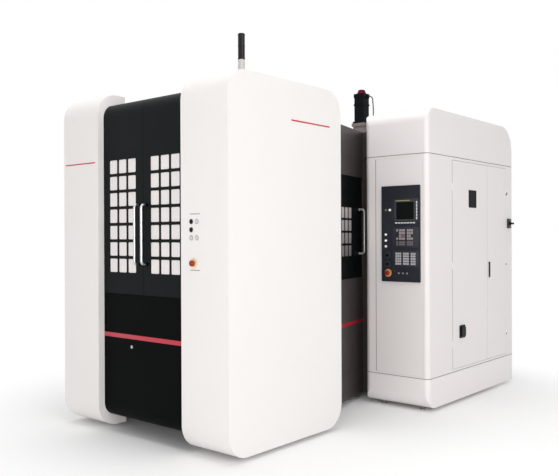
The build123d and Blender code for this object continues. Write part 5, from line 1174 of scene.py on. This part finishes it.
def seen_directly(tree):
    """1 for what the camera sees, also in metal and through glass."""
    path = add_node(tree, "ShaderNodeLightPath")
    seen = path.outputs["Is Camera Ray"]
    for name in ("Is Glossy Ray", "Is Transmission Ray"):
        seen = maths(tree, "MAXIMUM", seen, path.outputs[name])
    return seen


def floor_material():
    """Pale near the machine, where it takes the shadow, and plain white to the camera far from it."""
    material, tree, shader = new_material("floor")
    shader.inputs["Base Color"].default_value = FLOOR_WHITE
    shader.inputs["Roughness"].default_value = FLOOR_ROUGHNESS
    shader.inputs["Specular IOR Level"].default_value = 0.0
    far = add_node(tree, "ShaderNodeVectorMath", operation="DISTANCE")
    tree.links.new(object_point(tree), far.inputs[0])
    far.inputs[1].default_value = FLOOR_MIDDLE
    fade = ramp(
        tree, far.outputs["Value"], start=FADE_START, end=FADE_END, interpolation_type="SMOOTHSTEP"
    )
    white = add_node(tree, "ShaderNodeEmission")
    blend = add_node(tree, "ShaderNodeMixShader")
    tree.links.new(maths(tree, "MULTIPLY", fade, seen_directly(tree)), blend.inputs[0])
    tree.links.new(shader.outputs["BSDF"], blend.inputs[1])
    tree.links.new(white.outputs["Emission"], blend.inputs[2])
    tree.links.new(blend.outputs["Shader"], tree.nodes["Material Output"].inputs["Surface"])
    return material


def make_floor():
    mesh = bmesh.new()
    bmesh.ops.create_grid(mesh, x_segments=1, y_segments=1, size=FLOOR_HALF)
    data = bpy.data.meshes.new("floor")
    mesh.to_mesh(data)
    mesh.free()
    floor = bpy.data.objects.new("floor", data)
    scene.collection.objects.link(floor)
    data.materials.append(floor_material())


def make_world():
    """A soft even light that the camera sees as plain white."""
    world = bpy.data.worlds.new("studio")
    scene.world = world
    world.use_nodes = True
    tree = world.node_tree
    background = tree.nodes["Background"]
    strength = ramp(tree, seen_directly(tree), WORLD_LIGHT, SEEN_WHITE)
    tree.links.new(strength, background.inputs["Strength"])
    background.inputs["Color"].default_value = (1, 1, 1, 1)


def area_light(name, place, target, size, power):
    data = bpy.data.lights.new(name, "AREA")
    data.shape = "RECTANGLE"
    data.size, data.size_y = size
    data.energy = power
    light = bpy.data.objects.new(name, data)
    light.location = place
    aim = Vector(target) - Vector(place)
    light.rotation_euler = aim.to_track_quat("-Z", "Y").to_euler()
    scene.collection.objects.link(light)


def make_lights():
    area_light("key", place=(9.0, -3.5, 4.5), target=(0.8, -0.3, 1.3), size=(5.0, 4.0), power=190)
    area_light("front", place=(5.5, -8.5, 1.7), target=(1.0, 0.0, 0.8), size=(4.0, 3.0), power=255)
    area_light("top", place=(0.0, -1.0, 9.0), target=(0.1, 0, 1), size=(6.0, 6.0), power=360)


finish_nodes()
make_front_trim()
make_red_lines()
make_station_trim()
make_wall_trim()
make_soft_keys()
make_data_keys()
make_machine_keys()
make_panel_buttons()
make_panel_plates()
make_cabinet_trim()
make_plate_and_ducts()
make_drives()
make_contactors()
make_breakers()
make_modules()
make_terminals()
make_supplies()
make_enclosure_trim()
make_head_details()
make_camera()
make_floor()
make_world()
make_lights()
scene.view_settings.view_transform = "Standard"
